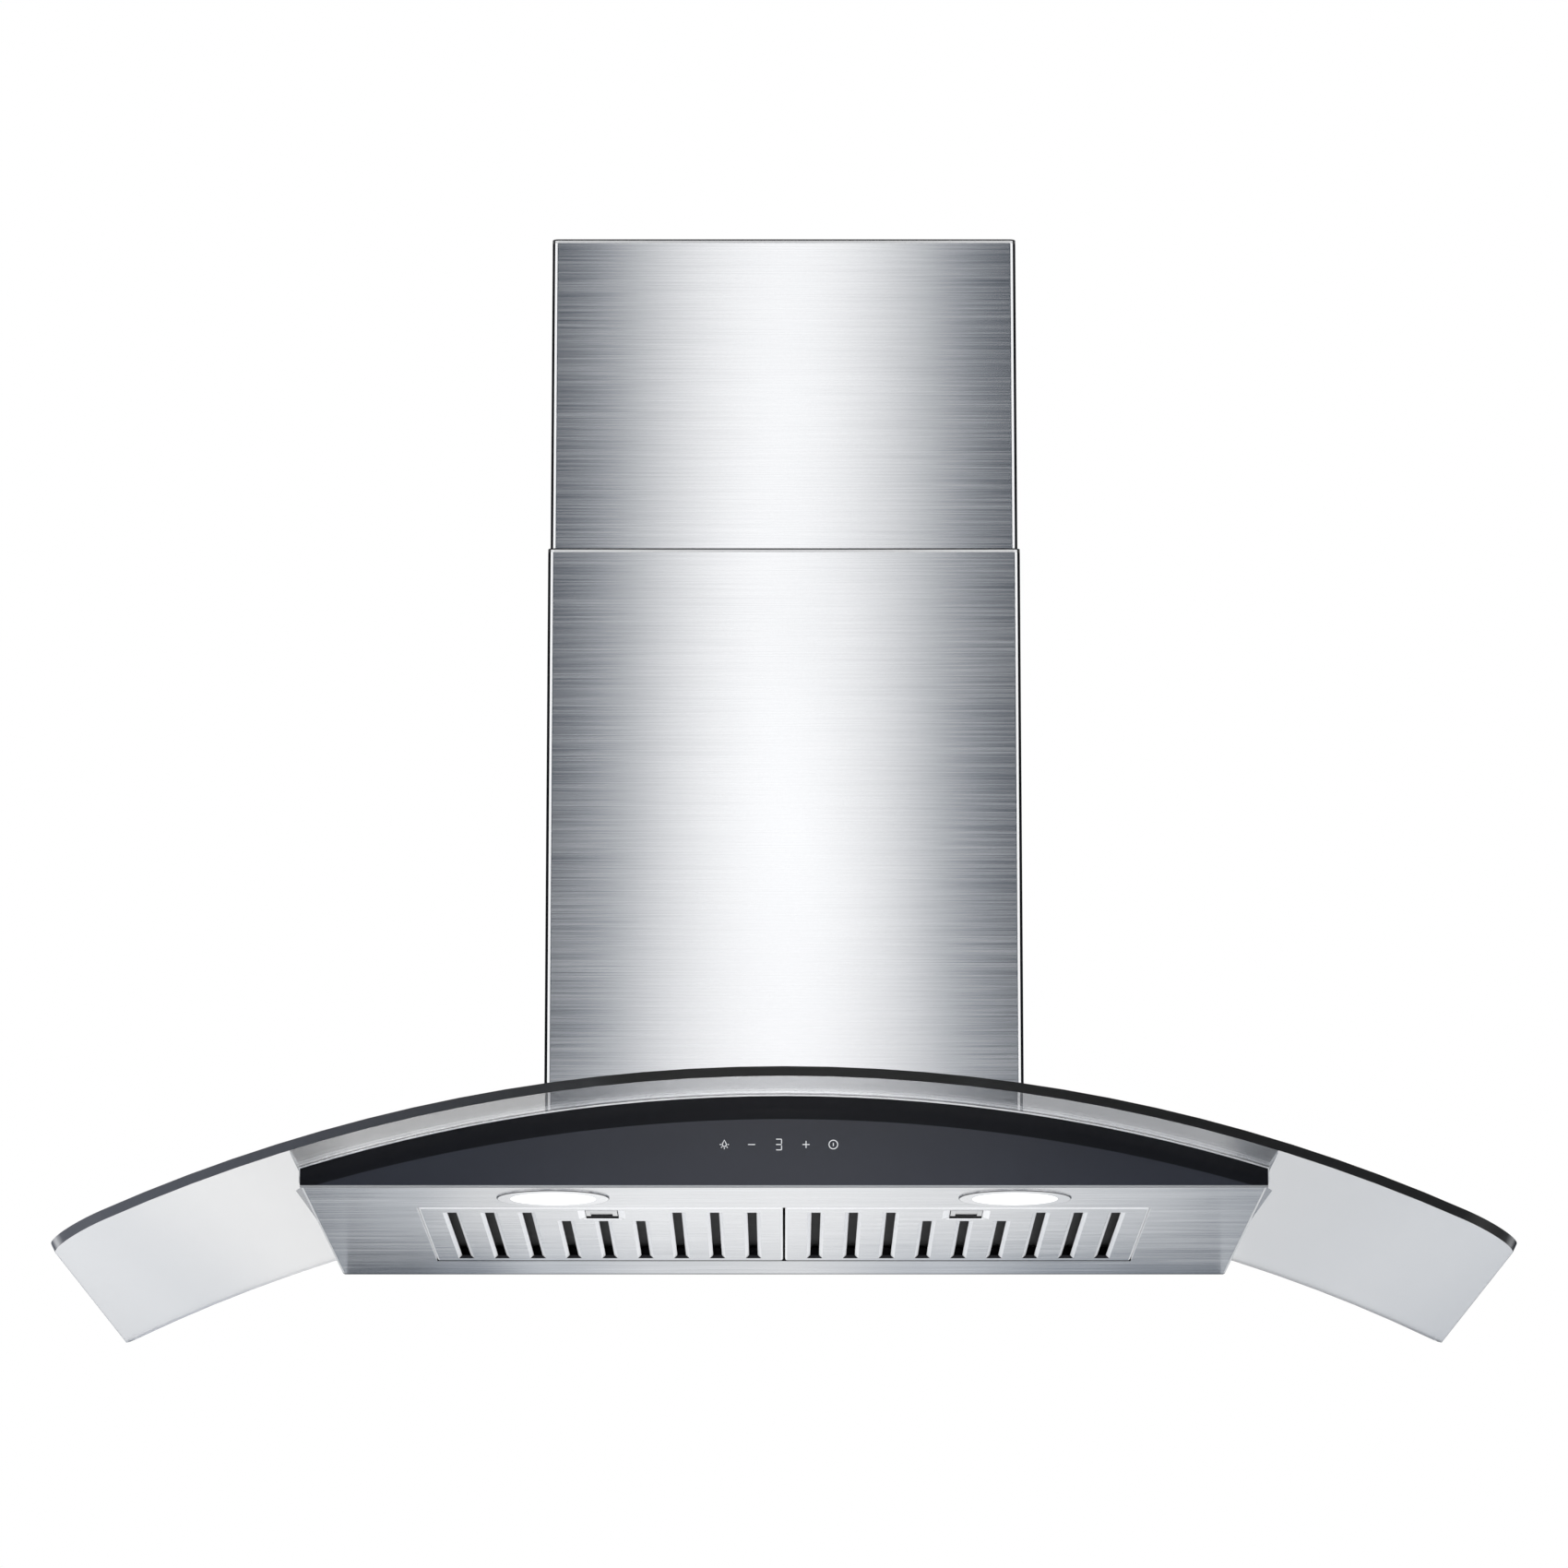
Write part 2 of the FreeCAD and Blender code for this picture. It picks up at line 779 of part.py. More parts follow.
def lamp_bezel(side):
    """Ring with a thin flange under the panel and a sleeve through it."""
    bore = lamp_lens_radius + seat_gap
    seat = lamp_lens_radius + lamp_lens_rim + seat_gap
    sleeve = lamp_sleeve_radius()
    return turned([
        (bore, -lamp_bezel_flange), (lamp_bezel_radius - lamp_bezel_flange / 2, -lamp_bezel_flange),
        (lamp_bezel_radius, -lamp_bezel_flange / 2), (lamp_bezel_radius, 0), (sleeve, 0),
        (sleeve, lamp_sleeve_height), (seat, lamp_sleeve_height), (seat, lamp_ledge), (bore, lamp_ledge),
    ], lamp_centre(side), AXIS_Z)


def lamp_lens(side):
    """Frosted lens whose rim rests on the ledge inside the bezel."""
    rim = lamp_lens_radius + lamp_lens_rim
    top = lamp_ledge + lamp_lens_thickness
    return turned([
        (0, -lamp_bezel_flange), (lamp_lens_radius, -lamp_bezel_flange), (lamp_lens_radius, lamp_ledge),
        (rim, lamp_ledge), (rim, top), (0, top),
    ], lamp_centre(side), AXIS_Z)


def lamp_heat_sink(side):
    """Cap on the sleeve with one deep cooling groove."""
    radius = lamp_sleeve_radius()
    third = heat_sink_height / 3
    low = lamp_sleeve_height
    cap = rod(radius, heat_sink_height, lamp_centre(side) + AXIS_Z * low, AXIS_Z)
    groove = tube(heat_sink_core, radius, third, lamp_centre(side) + AXIS_Z * (low + third), AXIS_Z)
    return cap.cut(groove)


def led_boards():
    made = []
    for _, side in SIDES:
        base = lamp_centre(side) + V(0, 0, lamp_sleeve_height - led_board_thickness)
        made.append(rod(led_board_radius, led_board_thickness, base, AXIS_Z))
    return group(made)


def lamp_clips():
    """Bent spring strips, two to a lamp, from the sleeve out onto the panel."""
    start = lamp_sleeve_radius() + seat_gap
    low = sheet + seat_gap
    high = lamp_sleeve_height - clip_sheet
    made = []
    for _, side in SIDES:
        for turn in (-1, 1):
            strip = outline([
                V(start, -clip_width / 2, low + 2 * clip_sheet),
                V(start, -clip_width / 2, high),
                V(start + clip_sheet, -clip_width / 2, high),
                V(start + clip_reach, -clip_width / 2, low + clip_sheet),
                V(start + clip_reach, -clip_width / 2, low),
            ])
            clip = prism(strip, V(0, clip_width, 0))
            if turn < 0:
                clip = mirror_x(clip)
            clip.translate(lamp_centre(side))
            made.append(clip)
    return group(made)


# Touch controls

def board_frame_back():
    return front_wall_y + sheet + board_frame_depth


def board_bracket():
    """Plastic frame between the steel front wall and the touch board."""
    y0 = front_wall_y + sheet
    half_x = window_half_width + board_frame_rim
    half_z = window_half_height + board_frame_rim
    frame = box(icon_middle_x - half_x, icon_middle_x + half_x, y0, board_frame_back(),
                icon_height - half_z, icon_height + half_z)
    return frame.cut(box(icon_middle_x - window_half_width, icon_middle_x + window_half_width,
                         y0, board_frame_back(), icon_height - window_half_height,
                         icon_height + window_half_height))


def touch_board():
    half_x = window_half_width + board_frame_rim / 2
    half_z = window_half_height + board_frame_rim / 2
    return box(icon_middle_x - half_x, icon_middle_x + half_x, board_frame_back(),
               board_frame_back() + board_thickness, icon_height - half_z, icon_height + half_z)


def touch_pads():
    """Conductive pads between board and glass, two each side of the display."""
    length = board_frame_back() - front_wall_y
    made = []
    for step in (-2, -1, 1, 2):
        base = V(icon_middle_x + step * icon_pitch, front_wall_y, icon_height)
        made.append(rod(touch_pad_radius, length, base, AXIS_Y))
    return group(made)


def display_module():
    return box(icon_middle_x - display_width / 2, icon_middle_x + display_width / 2,
               front_wall_y, board_frame_back(),
               icon_height - display_height / 2, icon_height + display_height / 2)


# Control box

def control_box_y0():
    return board_frame_back() + board_thickness + control_box_front_gap


def control_box():
    y0 = control_box_y0()
    y1 = y0 + control_box_depth
    half = control_box_half_width
    wall = control_box_wall
    tray = box(-half, half, y0, y1, sheet, sheet + control_box_height)
    tray = tray.cut(box(wall - half, half - wall, y0 + wall, y1 - wall,
                        sheet + wall, sheet + control_box_height))
    post = board_post_radius
    posts = []
    for x in (wall - half + post, half - wall - post):
        for y in (y0 + wall + post, y1 - wall - post):
            posts.append(rod(post, power_board_lift, V(x, y, sheet + wall), AXIS_Z))
    return fuse([tray] + posts)


def control_box_lid():
    """Lid with a lip that drops inside the walls."""
    y0 = control_box_y0()
    y1 = y0 + control_box_depth
    half = control_box_half_width
    inset = control_box_wall + seat_gap
    top = sheet + control_box_height
    plate = box(-half, half, y0, y1, top, top + control_box_wall)
    lip = box(inset - half, half - inset, y0 + inset, y1 - inset, top - control_box_wall, top)
    core = 2 * inset
    lip = lip.cut(box(core - half, half - core, y0 + core, y1 - core, top - control_box_wall, top))
    return fuse([plate, lip])


def power_board_top():
    return sheet + control_box_wall + power_board_lift + board_thickness


def power_board():
    """Circuit board on the posts, with its relays."""
    inset = control_box_wall + running_gap
    half = control_box_half_width - inset
    y0 = control_box_y0() + inset
    y1 = control_box_y0() + control_box_depth - inset
    top = power_board_top()
    pieces = [box(-half, half, y0, y1, top - board_thickness, top)]
    for step in range(relay_count):
        x = relay_size - half + relay_pitch * step
        pieces.append(box(x, x + relay_size, y0 + relay_size, y0 + 2 * relay_size,
                          top, top + relay_height))
    return fuse(pieces)


def led_driver():
    """Closed driver block for the lamps, on the right of the power board."""
    x1 = control_box_half_width - 2 * control_box_wall - relay_size / 2
    middle = control_box_y0() + control_box_depth / 2
    top = power_board_top()
    return box(x1 - driver_width, x1, middle - driver_depth / 2, middle + driver_depth / 2,
               top, top + driver_height)


# Blower neck and air box

def blower_neck():
    """Sleeve from the deck to the air box, with an arched foot and a flat top flange."""
    top = air_box_floor
    foot_radius = deck_top_radius + seat_gap
    block = neck_cut(neck_flange, 0, top).cut(arch_core(foot_radius))
    waist = neck_cut(neck_flange + sheet, 0, top - sheet).cut(neck_cut(0, 0, top))
    block = block.cut(waist.cut(arch_core(foot_radius + sheet)))
    return block.cut(neck_cut(-sheet, 0, 2 * top))


def outlet_rear_y():
    return air_box_rear_y - sheet - scroll_rear_gap - scroll_wall


def blower_centre():
    """Point on the blower's axis, from the room that the scroll needs behind and below."""
    start = impeller_radius + scroll_start_gap
    rear_reach = start + 3 * scroll_growth
    low_reach = start + scroll_growth + scroll_wall
    return V(0, outlet_rear_y() - rear_reach,
             air_box_floor + sheet + scroll_floor_gap + low_reach)


def outlet_front_y():
    return blower_centre().y + tongue_radius


def outlet_cut(grow, z0, z1):
    half = scroll_half_width + grow
    return box(-half, half, outlet_front_y() - grow, outlet_rear_y() + grow, z0, z1)


def outlet_screw_places():
    x = scroll_half_width + scroll_wall + scroll_flange / 2
    ys = (outlet_front_y() + screw_head_radius, outlet_rear_y() - 2 * screw_head_radius)
    return [(side * x, y) for side in (-1, 1) for y in ys]


def cover_screw_places():
    x = air_box_half_width - sheet - cover_lip / 2
    zs = (air_box_floor + cover_screw_inset, air_box_top - cover_screw_inset)
    return [V(side * x, air_box_front_y, z) for side in (-1, 1) for z in zs]


def air_box():
    """Folded steel box, open in front, with turned-in lips for the cover."""
    half = air_box_half_width
    y0 = air_box_front_y
    y1 = air_box_rear_y
    shell = box(-half, half, y0, y1, air_box_floor, air_box_top)
    shell = shell.cut(box(sheet - half, half - sheet, y0 + sheet, y1 - sheet,
                          air_box_floor + sheet, air_box_top - sheet))
    inset = sheet + cover_lip
    shell = shell.cut(box(inset - half, half - inset, y0, y0 + sheet,
                          air_box_floor + sheet, air_box_top - sheet))
    shell = shell.cut(neck_cut(-sheet, air_box_floor - sheet, air_box_floor + 2 * sheet))
    shell = shell.cut(outlet_cut(0, air_box_top - 2 * sheet, air_box_top + sheet))
    for x, y in outlet_screw_places():
        shell = shell.cut(screw_hole(V(x, y, air_box_top), AXIS_Z))
    for base in cover_screw_places():
        shell = shell.cut(screw_hole(base, AXIS_Y))
    return shell


def air_box_cover():
    """Flat service cover, stiffened by a shallow raised field."""
    half = air_box_half_width
    y1 = air_box_front_y
    inset = sheet + cover_lip + 2 * sheet
    plate = box(-half, half, y1 - sheet, y1, air_box_floor, air_box_top)
    field = box(inset - half, half - inset, y1 - sheet, y1 + sheet,
                air_box_floor + inset, air_box_top - inset)
    dent = box(inset + sheet - half, half - inset - sheet, y1 - sheet, y1,
               air_box_floor + inset + sheet, air_box_top - inset - sheet)
    cover = fuse([plate, field]).cut(dent)
    for base in cover_screw_places():
        cover = cover.cut(screw_hole(base, AXIS_Y))
    return cover


def cover_screws():
    return group([place(screw(screw_length), base - AXIS_Y * sheet, AXIS_Y)
                  for base in cover_screw_places()])


# Wall hanging

def wall_hanging_plate():
    """Strip on the wall whose upper lip stands off the wall to take the hook."""
    x0 = -hang_plate_half_width
    low = hang_height - hang_plate_half_height
    bend = hang_height + hang_plate_half_height
    top = bend + hang_joggle + hang_lip_height
    profile = outline([
        V(x0, 0, low), V(x0, 0, bend), V(x0, -hang_joggle, bend + hang_joggle),
        V(x0, -hang_joggle, top), V(x0, -hang_joggle - hang_sheet, top),
        V(x0, -hang_joggle - hang_sheet, bend + hang_joggle - hang_sheet / 2),
        V(x0, -hang_sheet, bend - hang_sheet / 2), V(x0, -hang_sheet, low),
    ])
    plate = prism(profile, V(2 * hang_plate_half_width, 0, 0))
    for side in (-1, 1):
        base = V(side * hang_hole_spacing / 2, -2 * hang_sheet, hang_height)
        plate = plate.cut(rod(hang_hole_radius, 4 * hang_sheet, base, AXIS_Y))
    return plate


def air_box_hook():
    """Folded strip on the back of the air box that hangs over the wall plate's lip."""
    lip_top = hang_height + hang_plate_half_height + hang_joggle + hang_lip_height
    bridge = lip_top + running_gap
    back = running_gap - hang_joggle
    half = hang_plate_half_width - hang_joggle
    front = box(-half, half, air_box_rear_y, air_box_rear_y + hang_sheet,
                bridge - 2 * hang_hook_drop, bridge + hang_sheet)
    top = box(-half, half, air_box_rear_y, back + hang_sheet, bridge, bridge + hang_sheet)
    leg = box(-half, half, back, back + hang_sheet, bridge - hang_hook_drop, bridge + hang_sheet)
    return fuse([front, top, leg])


# Blower

def scroll_passage():
    """Air passage in side view: three growing quarter arcs, the outlet and a round tongue."""
    c = blower_centre()
    start = impeller_radius + scroll_start_gap
    step = scroll_growth
    x = -scroll_half_width

    def at(u, v):
        return V(x, c.y + u, c.z + v)

    def quarter(u, v, radius, angle):
        points = []
        for turn in (0, 45, 90):
            a = math.radians(angle + turn)
            points.append(at(u + radius * math.cos(a), v + radius * math.sin(a)))
        return Part.Arc(*points).toShape()

    top = air_box_top - c.z
    rear = start + 3 * step
    front = tongue_radius
    nose = start + tongue_radius
    return Part.Wire([
        quarter(0, 0, start, 90),
        quarter(step, 0, start + step, 180),
        quarter(step, step, start + 2 * step, 270),
        Part.LineSegment(at(rear, step), at(rear, top)).toShape(),
        Part.LineSegment(at(rear, top), at(front, top)).toShape(),
        Part.LineSegment(at(front, top), at(front, nose)).toShape(),
        Part.Arc(at(front, nose), at(front * math.sqrt(0.5), nose - front * math.sqrt(0.5)),
                 at(0, start)).toShape(),
    ])


def scroll_outer(x0, x1):
    """Solid outline of the scroll with its wall, between two planes across the axis."""
    face = Part.Face(scroll_passage()).makeOffset2D(scroll_wall)
    face.translate(V(x0 + scroll_half_width, 0, 0))
    solid = face.extrude(V(x1 - x0, 0, 0))
    return solid.cut(box(x0, x1, -canopy_depth, 0, air_box_top - sheet, air_box_top + canopy_depth))


def inlet(side):
    """Bell mouth of one inlet, a ring that flares outwards."""
    inner = impeller_inner_radius
    base = blower_centre() + V(side * scroll_half_width, 0, 0)
    return turned([
        (inner, 0), (inner + scroll_wall, 0),
        (inner + inlet_flare / 2 + scroll_wall, inlet_flare), (inner + inlet_flare / 2, inlet_flare),
    ], base, AXIS_X * side)


def scroll_side(side):
    """Side plate of the scroll with its bell mouth."""
    inner = scroll_half_width
    outer = scroll_half_width + scroll_wall
    x0, x1 = sorted((side * inner, side * outer))
    plate = scroll_outer(x0, x1)
    plate = plate.cut(rod(impeller_inner_radius, outer - inner,
                          blower_centre() + V(x0, 0, 0), AXIS_X))
    return fuse([plate, inlet(side)])


def bracket_turns():
    """Directions of the motor bracket's arms in degrees, the first one upright."""
    return [90 + 360.0 * i / bracket_arm_count for i in range(bracket_arm_count)]


def scroll_screw_places():
    """Feet of the motor bracket's arms on the right side plate."""
    c = blower_centre()
    reach = bracket_reach - bracket_arm_width / 2
    made = []
    for turn in bracket_turns():
        a = math.radians(turn)
        made.append(c + V(scroll_half_width + scroll_wall, reach * math.cos(a), reach * math.sin(a)))
    return made


def scroll_lip(side):
    """Flange along the top of one side plate, screwed to the roof of the air box."""
    roof = air_box_top - sheet
    start = scroll_half_width
    x0, x1 = sorted((side * start, side * (start + scroll_wall + scroll_flange)))
    lip = box(x0, x1, outlet_front_y(), outlet_rear_y(), roof - scroll_wall, roof)
    for x, y in outlet_screw_places():
        lip = lip.cut(screw_hole(V(x, y, roof), AXIS_Z))
    return lip


def scroll_housing():
    """Spiral wall with the left side plate and its flange under the roof."""
    wall = scroll_outer(-scroll_half_width, scroll_half_width)
    wall = wall.cut(prism(scroll_passage(), V(2 * scroll_half_width, 0, 0)))
    return fuse([wall, scroll_side(-1), scroll_lip(-1)])


def scroll_cover():
    """Right side plate, drilled for the motor bracket."""
    plate = fuse([scroll_side(1), scroll_lip(1)])
    for base in scroll_screw_places():
        plate = plate.cut(screw_hole(base, AXIS_X))
    return plate


def blade():
    """One forward curved blade in side view, swept along the axis."""
    c = blower_centre()
    inner = impeller_inner_radius
    outer = impeller_radius
    middle = (inner + outer) / 2
    bulge = (outer - inner) ** 2 / (8 * blade_bend_radius)
    x = impeller_ring - impeller_half_width
    half = blade_thickness / 2
    lines = []
    for shift in (-half, half):
        lines.append((V(x, c.y + inner, c.z + shift), V(x, c.y + middle, c.z + bulge + shift),
                      V(x, c.y + outer - seat_gap, c.z + shift)))
    return prism(band(*lines), V(2 * (impeller_half_width - impeller_ring), 0, 0))


def impeller():
    """Squirrel cage: curved blades between two end rings, with a middle plate and hub."""
    c = blower_centre()
    half = impeller_half_width
    pieces = [
        rod(impeller_radius, impeller_plate, c - AXIS_X * (impeller_plate / 2), AXIS_X),
        rod(hub_radius, hub_length, c - AXIS_X * (hub_length / 2), AXIS_X),
    ]
    for start in (-half, half - impeller_ring):
        pieces.append(tube(impeller_inner_radius - blade_thickness, impeller_radius, impeller_ring,
                           c + AXIS_X * start, AXIS_X))
    first = blade()
    for i in range(blade_count):
        one = first.copy()
        one.rotate(c, AXIS_X, 360.0 * i / blade_count)
        pieces.append(one)
    cage = fuse(pieces)
    return cage.cut(rod(shaft_radius, 2 * hub_length, c - AXIS_X * hub_length, AXIS_X))


def motor_face_x():
    return scroll_half_width + scroll_wall + motor_standoff


def motor_shaft():
    start = -hub_length / 2 - shaft_radius
    end = motor_face_x() - motor_boss_length + shaft_in_motor
    return rod(shaft_radius, end - start, blower_centre() + AXIS_X * start, AXIS_X)


def motor():
    """Round motor with a front boss and bearing bore, and a rolled seam between its shells."""
    x = motor_face_x() - motor_boss_length
    base = blower_centre() + AXIS_X * x
    front = base + AXIS_X * motor_boss_length
    half = (motor_length - motor_seam) / 2
    shell = motor_radius - motor_seam
    pieces = [
        rod(motor_boss_radius, motor_boss_length, base, AXIS_X),
        rod(shell, motor_length, front, AXIS_X),
        rod(motor_radius, motor_seam, front + AXIS_X * half, AXIS_X),
    ]
    bore = rod(shaft_radius + shaft_play, shaft_in_motor + running_gap, base, AXIS_X)
    return fuse(pieces).cut(bore)


def motor_bracket():
    """Pressed three-arm spider from the motor's face to the scroll's side plate."""
    c = blower_centre()
    x1 = motor_face_x()
    x0 = x1 - bracket_sheet
    foot_x = scroll_half_width + scroll_wall
    pieces = [rod(motor_radius - bracket_sheet, bracket_sheet, c + AXIS_X * x0, AXIS_X)]
    half = bracket_arm_width / 2
    for turn in bracket_turns():
        arm = box(x0, x1, motor_boss_radius, bracket_reach - bracket_arm_width, -half, half)
        bend = bracket_reach - bracket_arm_width
        leg = box(foot_x, x1, bend, bend + bracket_sheet, -half, half)
        foot = box(foot_x, foot_x + bracket_sheet, bend, bracket_reach, -half, half)
        spoke = fuse([arm, leg, foot])
        spoke.rotate(V(0, 0, 0), AXIS_X, turn)
        spoke.translate(c)
        pieces.append(spoke)
    spider = fuse(pieces).cut(rod(motor_boss_radius + seat_gap, bracket_sheet,
                                  c + AXIS_X * x0, AXIS_X))
    for base in scroll_screw_places():
        spider = spider.cut(screw_hole(base, AXIS_X))
    return spider


def motor_screws():
    length = bracket_sheet + scroll_wall
    return group([place(screw(length), base + AXIS_X * bracket_sheet, AXIS_X * -1)
                  for base in scroll_screw_places()])


def capacitor():
    """Run capacitor hung under the roof of the air box, left of the scroll."""
    x = -(scroll_half_width + air_box_half_width) / 2
    y = air_box_front_y + 2 * capacitor_radius + cover_lip
    base = V(x, y, air_box_top - sheet - capacitor_length)
    edge = capacitor_edge
    return turned([(0, 0), (capacitor_radius - edge, 0), (capacitor_radius, edge),
                   (capacitor_radius, capacitor_length), (0, capacitor_length)], base, AXIS_Z)


# Outlet

def collar_base():
    return air_box_top + pan_height


def damper_axis():
    return V(0, collar_centre_y, collar_base() + damper_height)


def pan_block(shrink, z0, z1):
    """Outline of the pan that spans the scroll's outlet and the round collar."""
    half = collar_radius + pan_rim - shrink
    front = collar_centre_y - collar_radius - pan_rim + shrink
    rear = outlet_rear_y() + scroll_wall - shrink
    return rounded_block(-half, half, front, rear, pan_corner - shrink, z0, z1)


def outlet_adapter():
    """Shallow pan over the blower outlet with the duct collar, pin bosses and a flap ledge."""
    top = collar_base()
    centre = V(0, collar_centre_y, top)
    inner = collar_radius - adapter_wall
    pan = pan_block(0, air_box_top, top)
    pan = pan.cut(pan_block(adapter_wall, air_box_top, top - adapter_wall))
    shell = fuse([pan, rod(collar_radius, collar_length, centre, AXIS_Z)])
    shell = shell.cut(rod(inner, collar_length + 2 * adapter_wall, centre - AXIS_Z * adapter_wall, AXIS_Z))
    axis = damper_axis()
    ledge_top = axis.z - damper_thickness / 2 - running_gap
    ledge = tube(inner - damper_ledge, inner + seat_gap, damper_ledge,
                 V(0, collar_centre_y, ledge_top - damper_ledge), AXIS_Z)
    extras = [ledge]
    half = damper_boss / 2 + damper_pin_radius / 2
    for side in (-1, 1):
        x0, x1 = sorted((side * (inner - damper_boss), side * (inner + seat_gap)))
        extras.append(box(x0, x1, axis.y - half, axis.y + half, ledge_top - damper_ledge, axis.z + half))
    adapter = fuse([shell] + extras)
    return adapter.cut(rod(damper_pin_radius, 2 * inner, axis - AXIS_X * inner, AXIS_X))


def outlet_screws():
    return group([place(screw(screw_length), V(x, y, air_box_top), AXIS_Z * -1)
                  for x, y in outlet_screw_places()])


def damper_pin():
    half = collar_radius - adapter_wall - running_gap
    return rod(damper_pin_radius, 2 * half, damper_axis() - AXIS_X * half, AXIS_X)


def damper_flap(side, knuckles):
    """Half disc hinged on the pin: side -1 lies in front of the pin, +1 behind it."""
    axis = damper_axis()
    radius = collar_radius - adapter_wall - damper_edge_gap
    low = axis - AXIS_Z * (damper_thickness / 2)
    disc = rod(radius, damper_thickness, low, AXIS_Z)
    near = side * damper_root_gap
    far = side * 2 * radius
    y0, y1 = sorted((axis.y + near, axis.y + far))
    flap = disc.common(box(-radius, radius, y0, y1, low.z, low.z + damper_thickness))
    clear = damper_boss + running_gap
    for end in (-1, 1):
        inner = collar_radius - adapter_wall - clear
        x0, x1 = sorted((end * inner, end * 2 * radius))
        flap = flap.cut(box(x0, x1, axis.y - clear, axis.y + clear, low.z, axis.z + clear))
    outer = damper_pin_radius + damper_pin_play + damper_knuckle_wall
    pieces = [flap]
    for x in knuckles:
        start = V(x - damper_knuckle_length / 2, axis.y, axis.z)
        pieces.append(rod(outer, damper_knuckle_length, start, AXIS_X))
        arm_y0, arm_y1 = sorted((axis.y, axis.y + side * (damper_root_gap + damper_thickness)))
        pieces.append(box(start.x, start.x + damper_knuckle_length, arm_y0, arm_y1,
                          low.z, low.z + damper_thickness))
    flap = fuse(pieces)
    length = 4 * radius
    return flap.cut(rod(damper_pin_radius + damper_pin_play, length, axis - AXIS_X * (length / 2), AXIS_X))


# Junction box on the roof

def junction_y0():
    return air_box_front_y + junction_front_gap


def junction_box():
    """Closed plastic box with a lid line and a threaded hole for the gland."""
    y0 = junction_y0()
    y1 = y0 + junction_depth
    half = junction_width / 2
    z0 = air_box_top
    z1 = z0 + junction_height
    wall = junction_wall
    shell = box(-half, half, y0, y1, z0, z1)
    shell = shell.cut(box(wall - half, half - wall, y0 + wall, y1 - wall, z0 + wall, z1 - wall))
    return shell.cut(rod(gland_bore + wall, 2 * wall, gland_base() - AXIS_X * wall, AXIS_X))


def gland_base():
    return V(-junction_width / 2, junction_y0() + junction_depth / 2, air_box_top + junction_height / 2)


def cable_gland():
    """Gland with a threaded shank, a flange and a slimmer cap, bored for a cable."""
    base = gland_base()
    flange = gland_length / 3
    pieces = [
        rod(gland_bore + junction_wall - screw_gap, junction_wall, base, AXIS_X),
        rod(gland_radius, flange, base - AXIS_X * flange, AXIS_X),
        rod(gland_cap_radius, gland_length, base - AXIS_X * gland_length, AXIS_X),
    ]
    bore = rod(gland_bore, 2 * gland_length, base - AXIS_X * gland_length, AXIS_X)
    return fuse(pieces).cut(bore)


# Chimney

def u_sheet(half, y_front, y_rear, z0, z1):
    """Folded chimney: front, two sides and return flanges at the wall."""
    outer = rounded_block(-half, half, y_front, y_rear + chimney_bend, chimney_bend, z0, z1)
    inner = rounded_block(sheet - half, half - sheet, y_front + sheet, y_rear + chimney_bend,
                          chimney_bend - sheet / 2, z0, z1)
    keep = box(-half, half, y_front, y_rear, z0, z1)
    back = box(-half, half, y_rear - sheet, y_rear, z0, z1)
    gap = half - chimney_flange
    back = back.cut(box(-gap, gap, y_rear - sheet, y_rear, z0, z1))
    return fuse([outer.cut(inner).common(keep), back])


def lower_chimney():
    """Lower cover, its foot cut to the arch of the glass."""
    shell = u_sheet(chimney_width / 2, -chimney_depth, 0, 0, chimney_top)
    shell = shell.cut(arch_core(canopy_top_radius + glass_seat_gap))
    for side in (-1, 1):
        base = V(side * chimney_width / 2, clamp_tab_y(), chimney_screw_z())
        shell = shell.cut(flat_screw_hole(base, AXIS_X * -side))
    return shell


def chimney_screws():
    made = []
    for side in (-1, 1):
        base = V(side * chimney_width / 2, clamp_tab_y(), chimney_screw_z())
        made.append(place(flat_screw(screw_length), base, AXIS_X * -side))
    return group(made)


def bracket_z0():
    return upper_top - bracket_top_gap - bracket_height


def bracket_screw_base(side):
    return V(side * upper_half, upper_rear_y - bracket_tab_depth / 2, bracket_z0() + bracket_height / 2)


def upper_chimney():
    """Upper cover, its flanges notched at the top for the wall bracket."""
    shell = u_sheet(upper_half, upper_front_y, upper_rear_y, upper_top - upper_length, upper_top)
    inner = upper_half - sheet
    notch = box(-inner, inner, upper_rear_y - sheet, upper_rear_y,
                bracket_z0() - bracket_top_gap, upper_top)
    shell = shell.cut(notch)
    for side in (-1, 1):
        shell = shell.cut(flat_screw_hole(bracket_screw_base(side), AXIS_X * -side))
    return shell


def chimney_wall_bracket():
    """Strip on the wall with a tab at each end inside the upper cover."""
    half = upper_half - sheet - running_gap
    t = wall_bracket_sheet
    z0 = bracket_z0()
    z1 = z0 + bracket_height
    pieces = [box(-half, half, -t, 0, z0, z1)]
    for side in (-1, 1):
        x0, x1 = sorted((side * half, side * (half - t)))
        pieces.append(box(x0, x1, upper_rear_y - bracket_tab_depth, 0, z0, z1))
    bracket = fuse(pieces)
    for side in (-1, 1):
        base = V(side * bracket_hole_spacing / 2, -2 * t, z0 + bracket_height / 2)
        bracket = bracket.cut(rod(bracket_hole_radius, 4 * t, base, AXIS_Y))
        bracket = bracket.cut(screw_hole(bracket_screw_base(side), AXIS_X))
    return bracket


def bracket_screws():
    return group([place(flat_screw(screw_length), bracket_screw_base(side), AXIS_X * -side)
                  for side in (-1, 1)])


os.makedirs("parts", exist_ok=True)

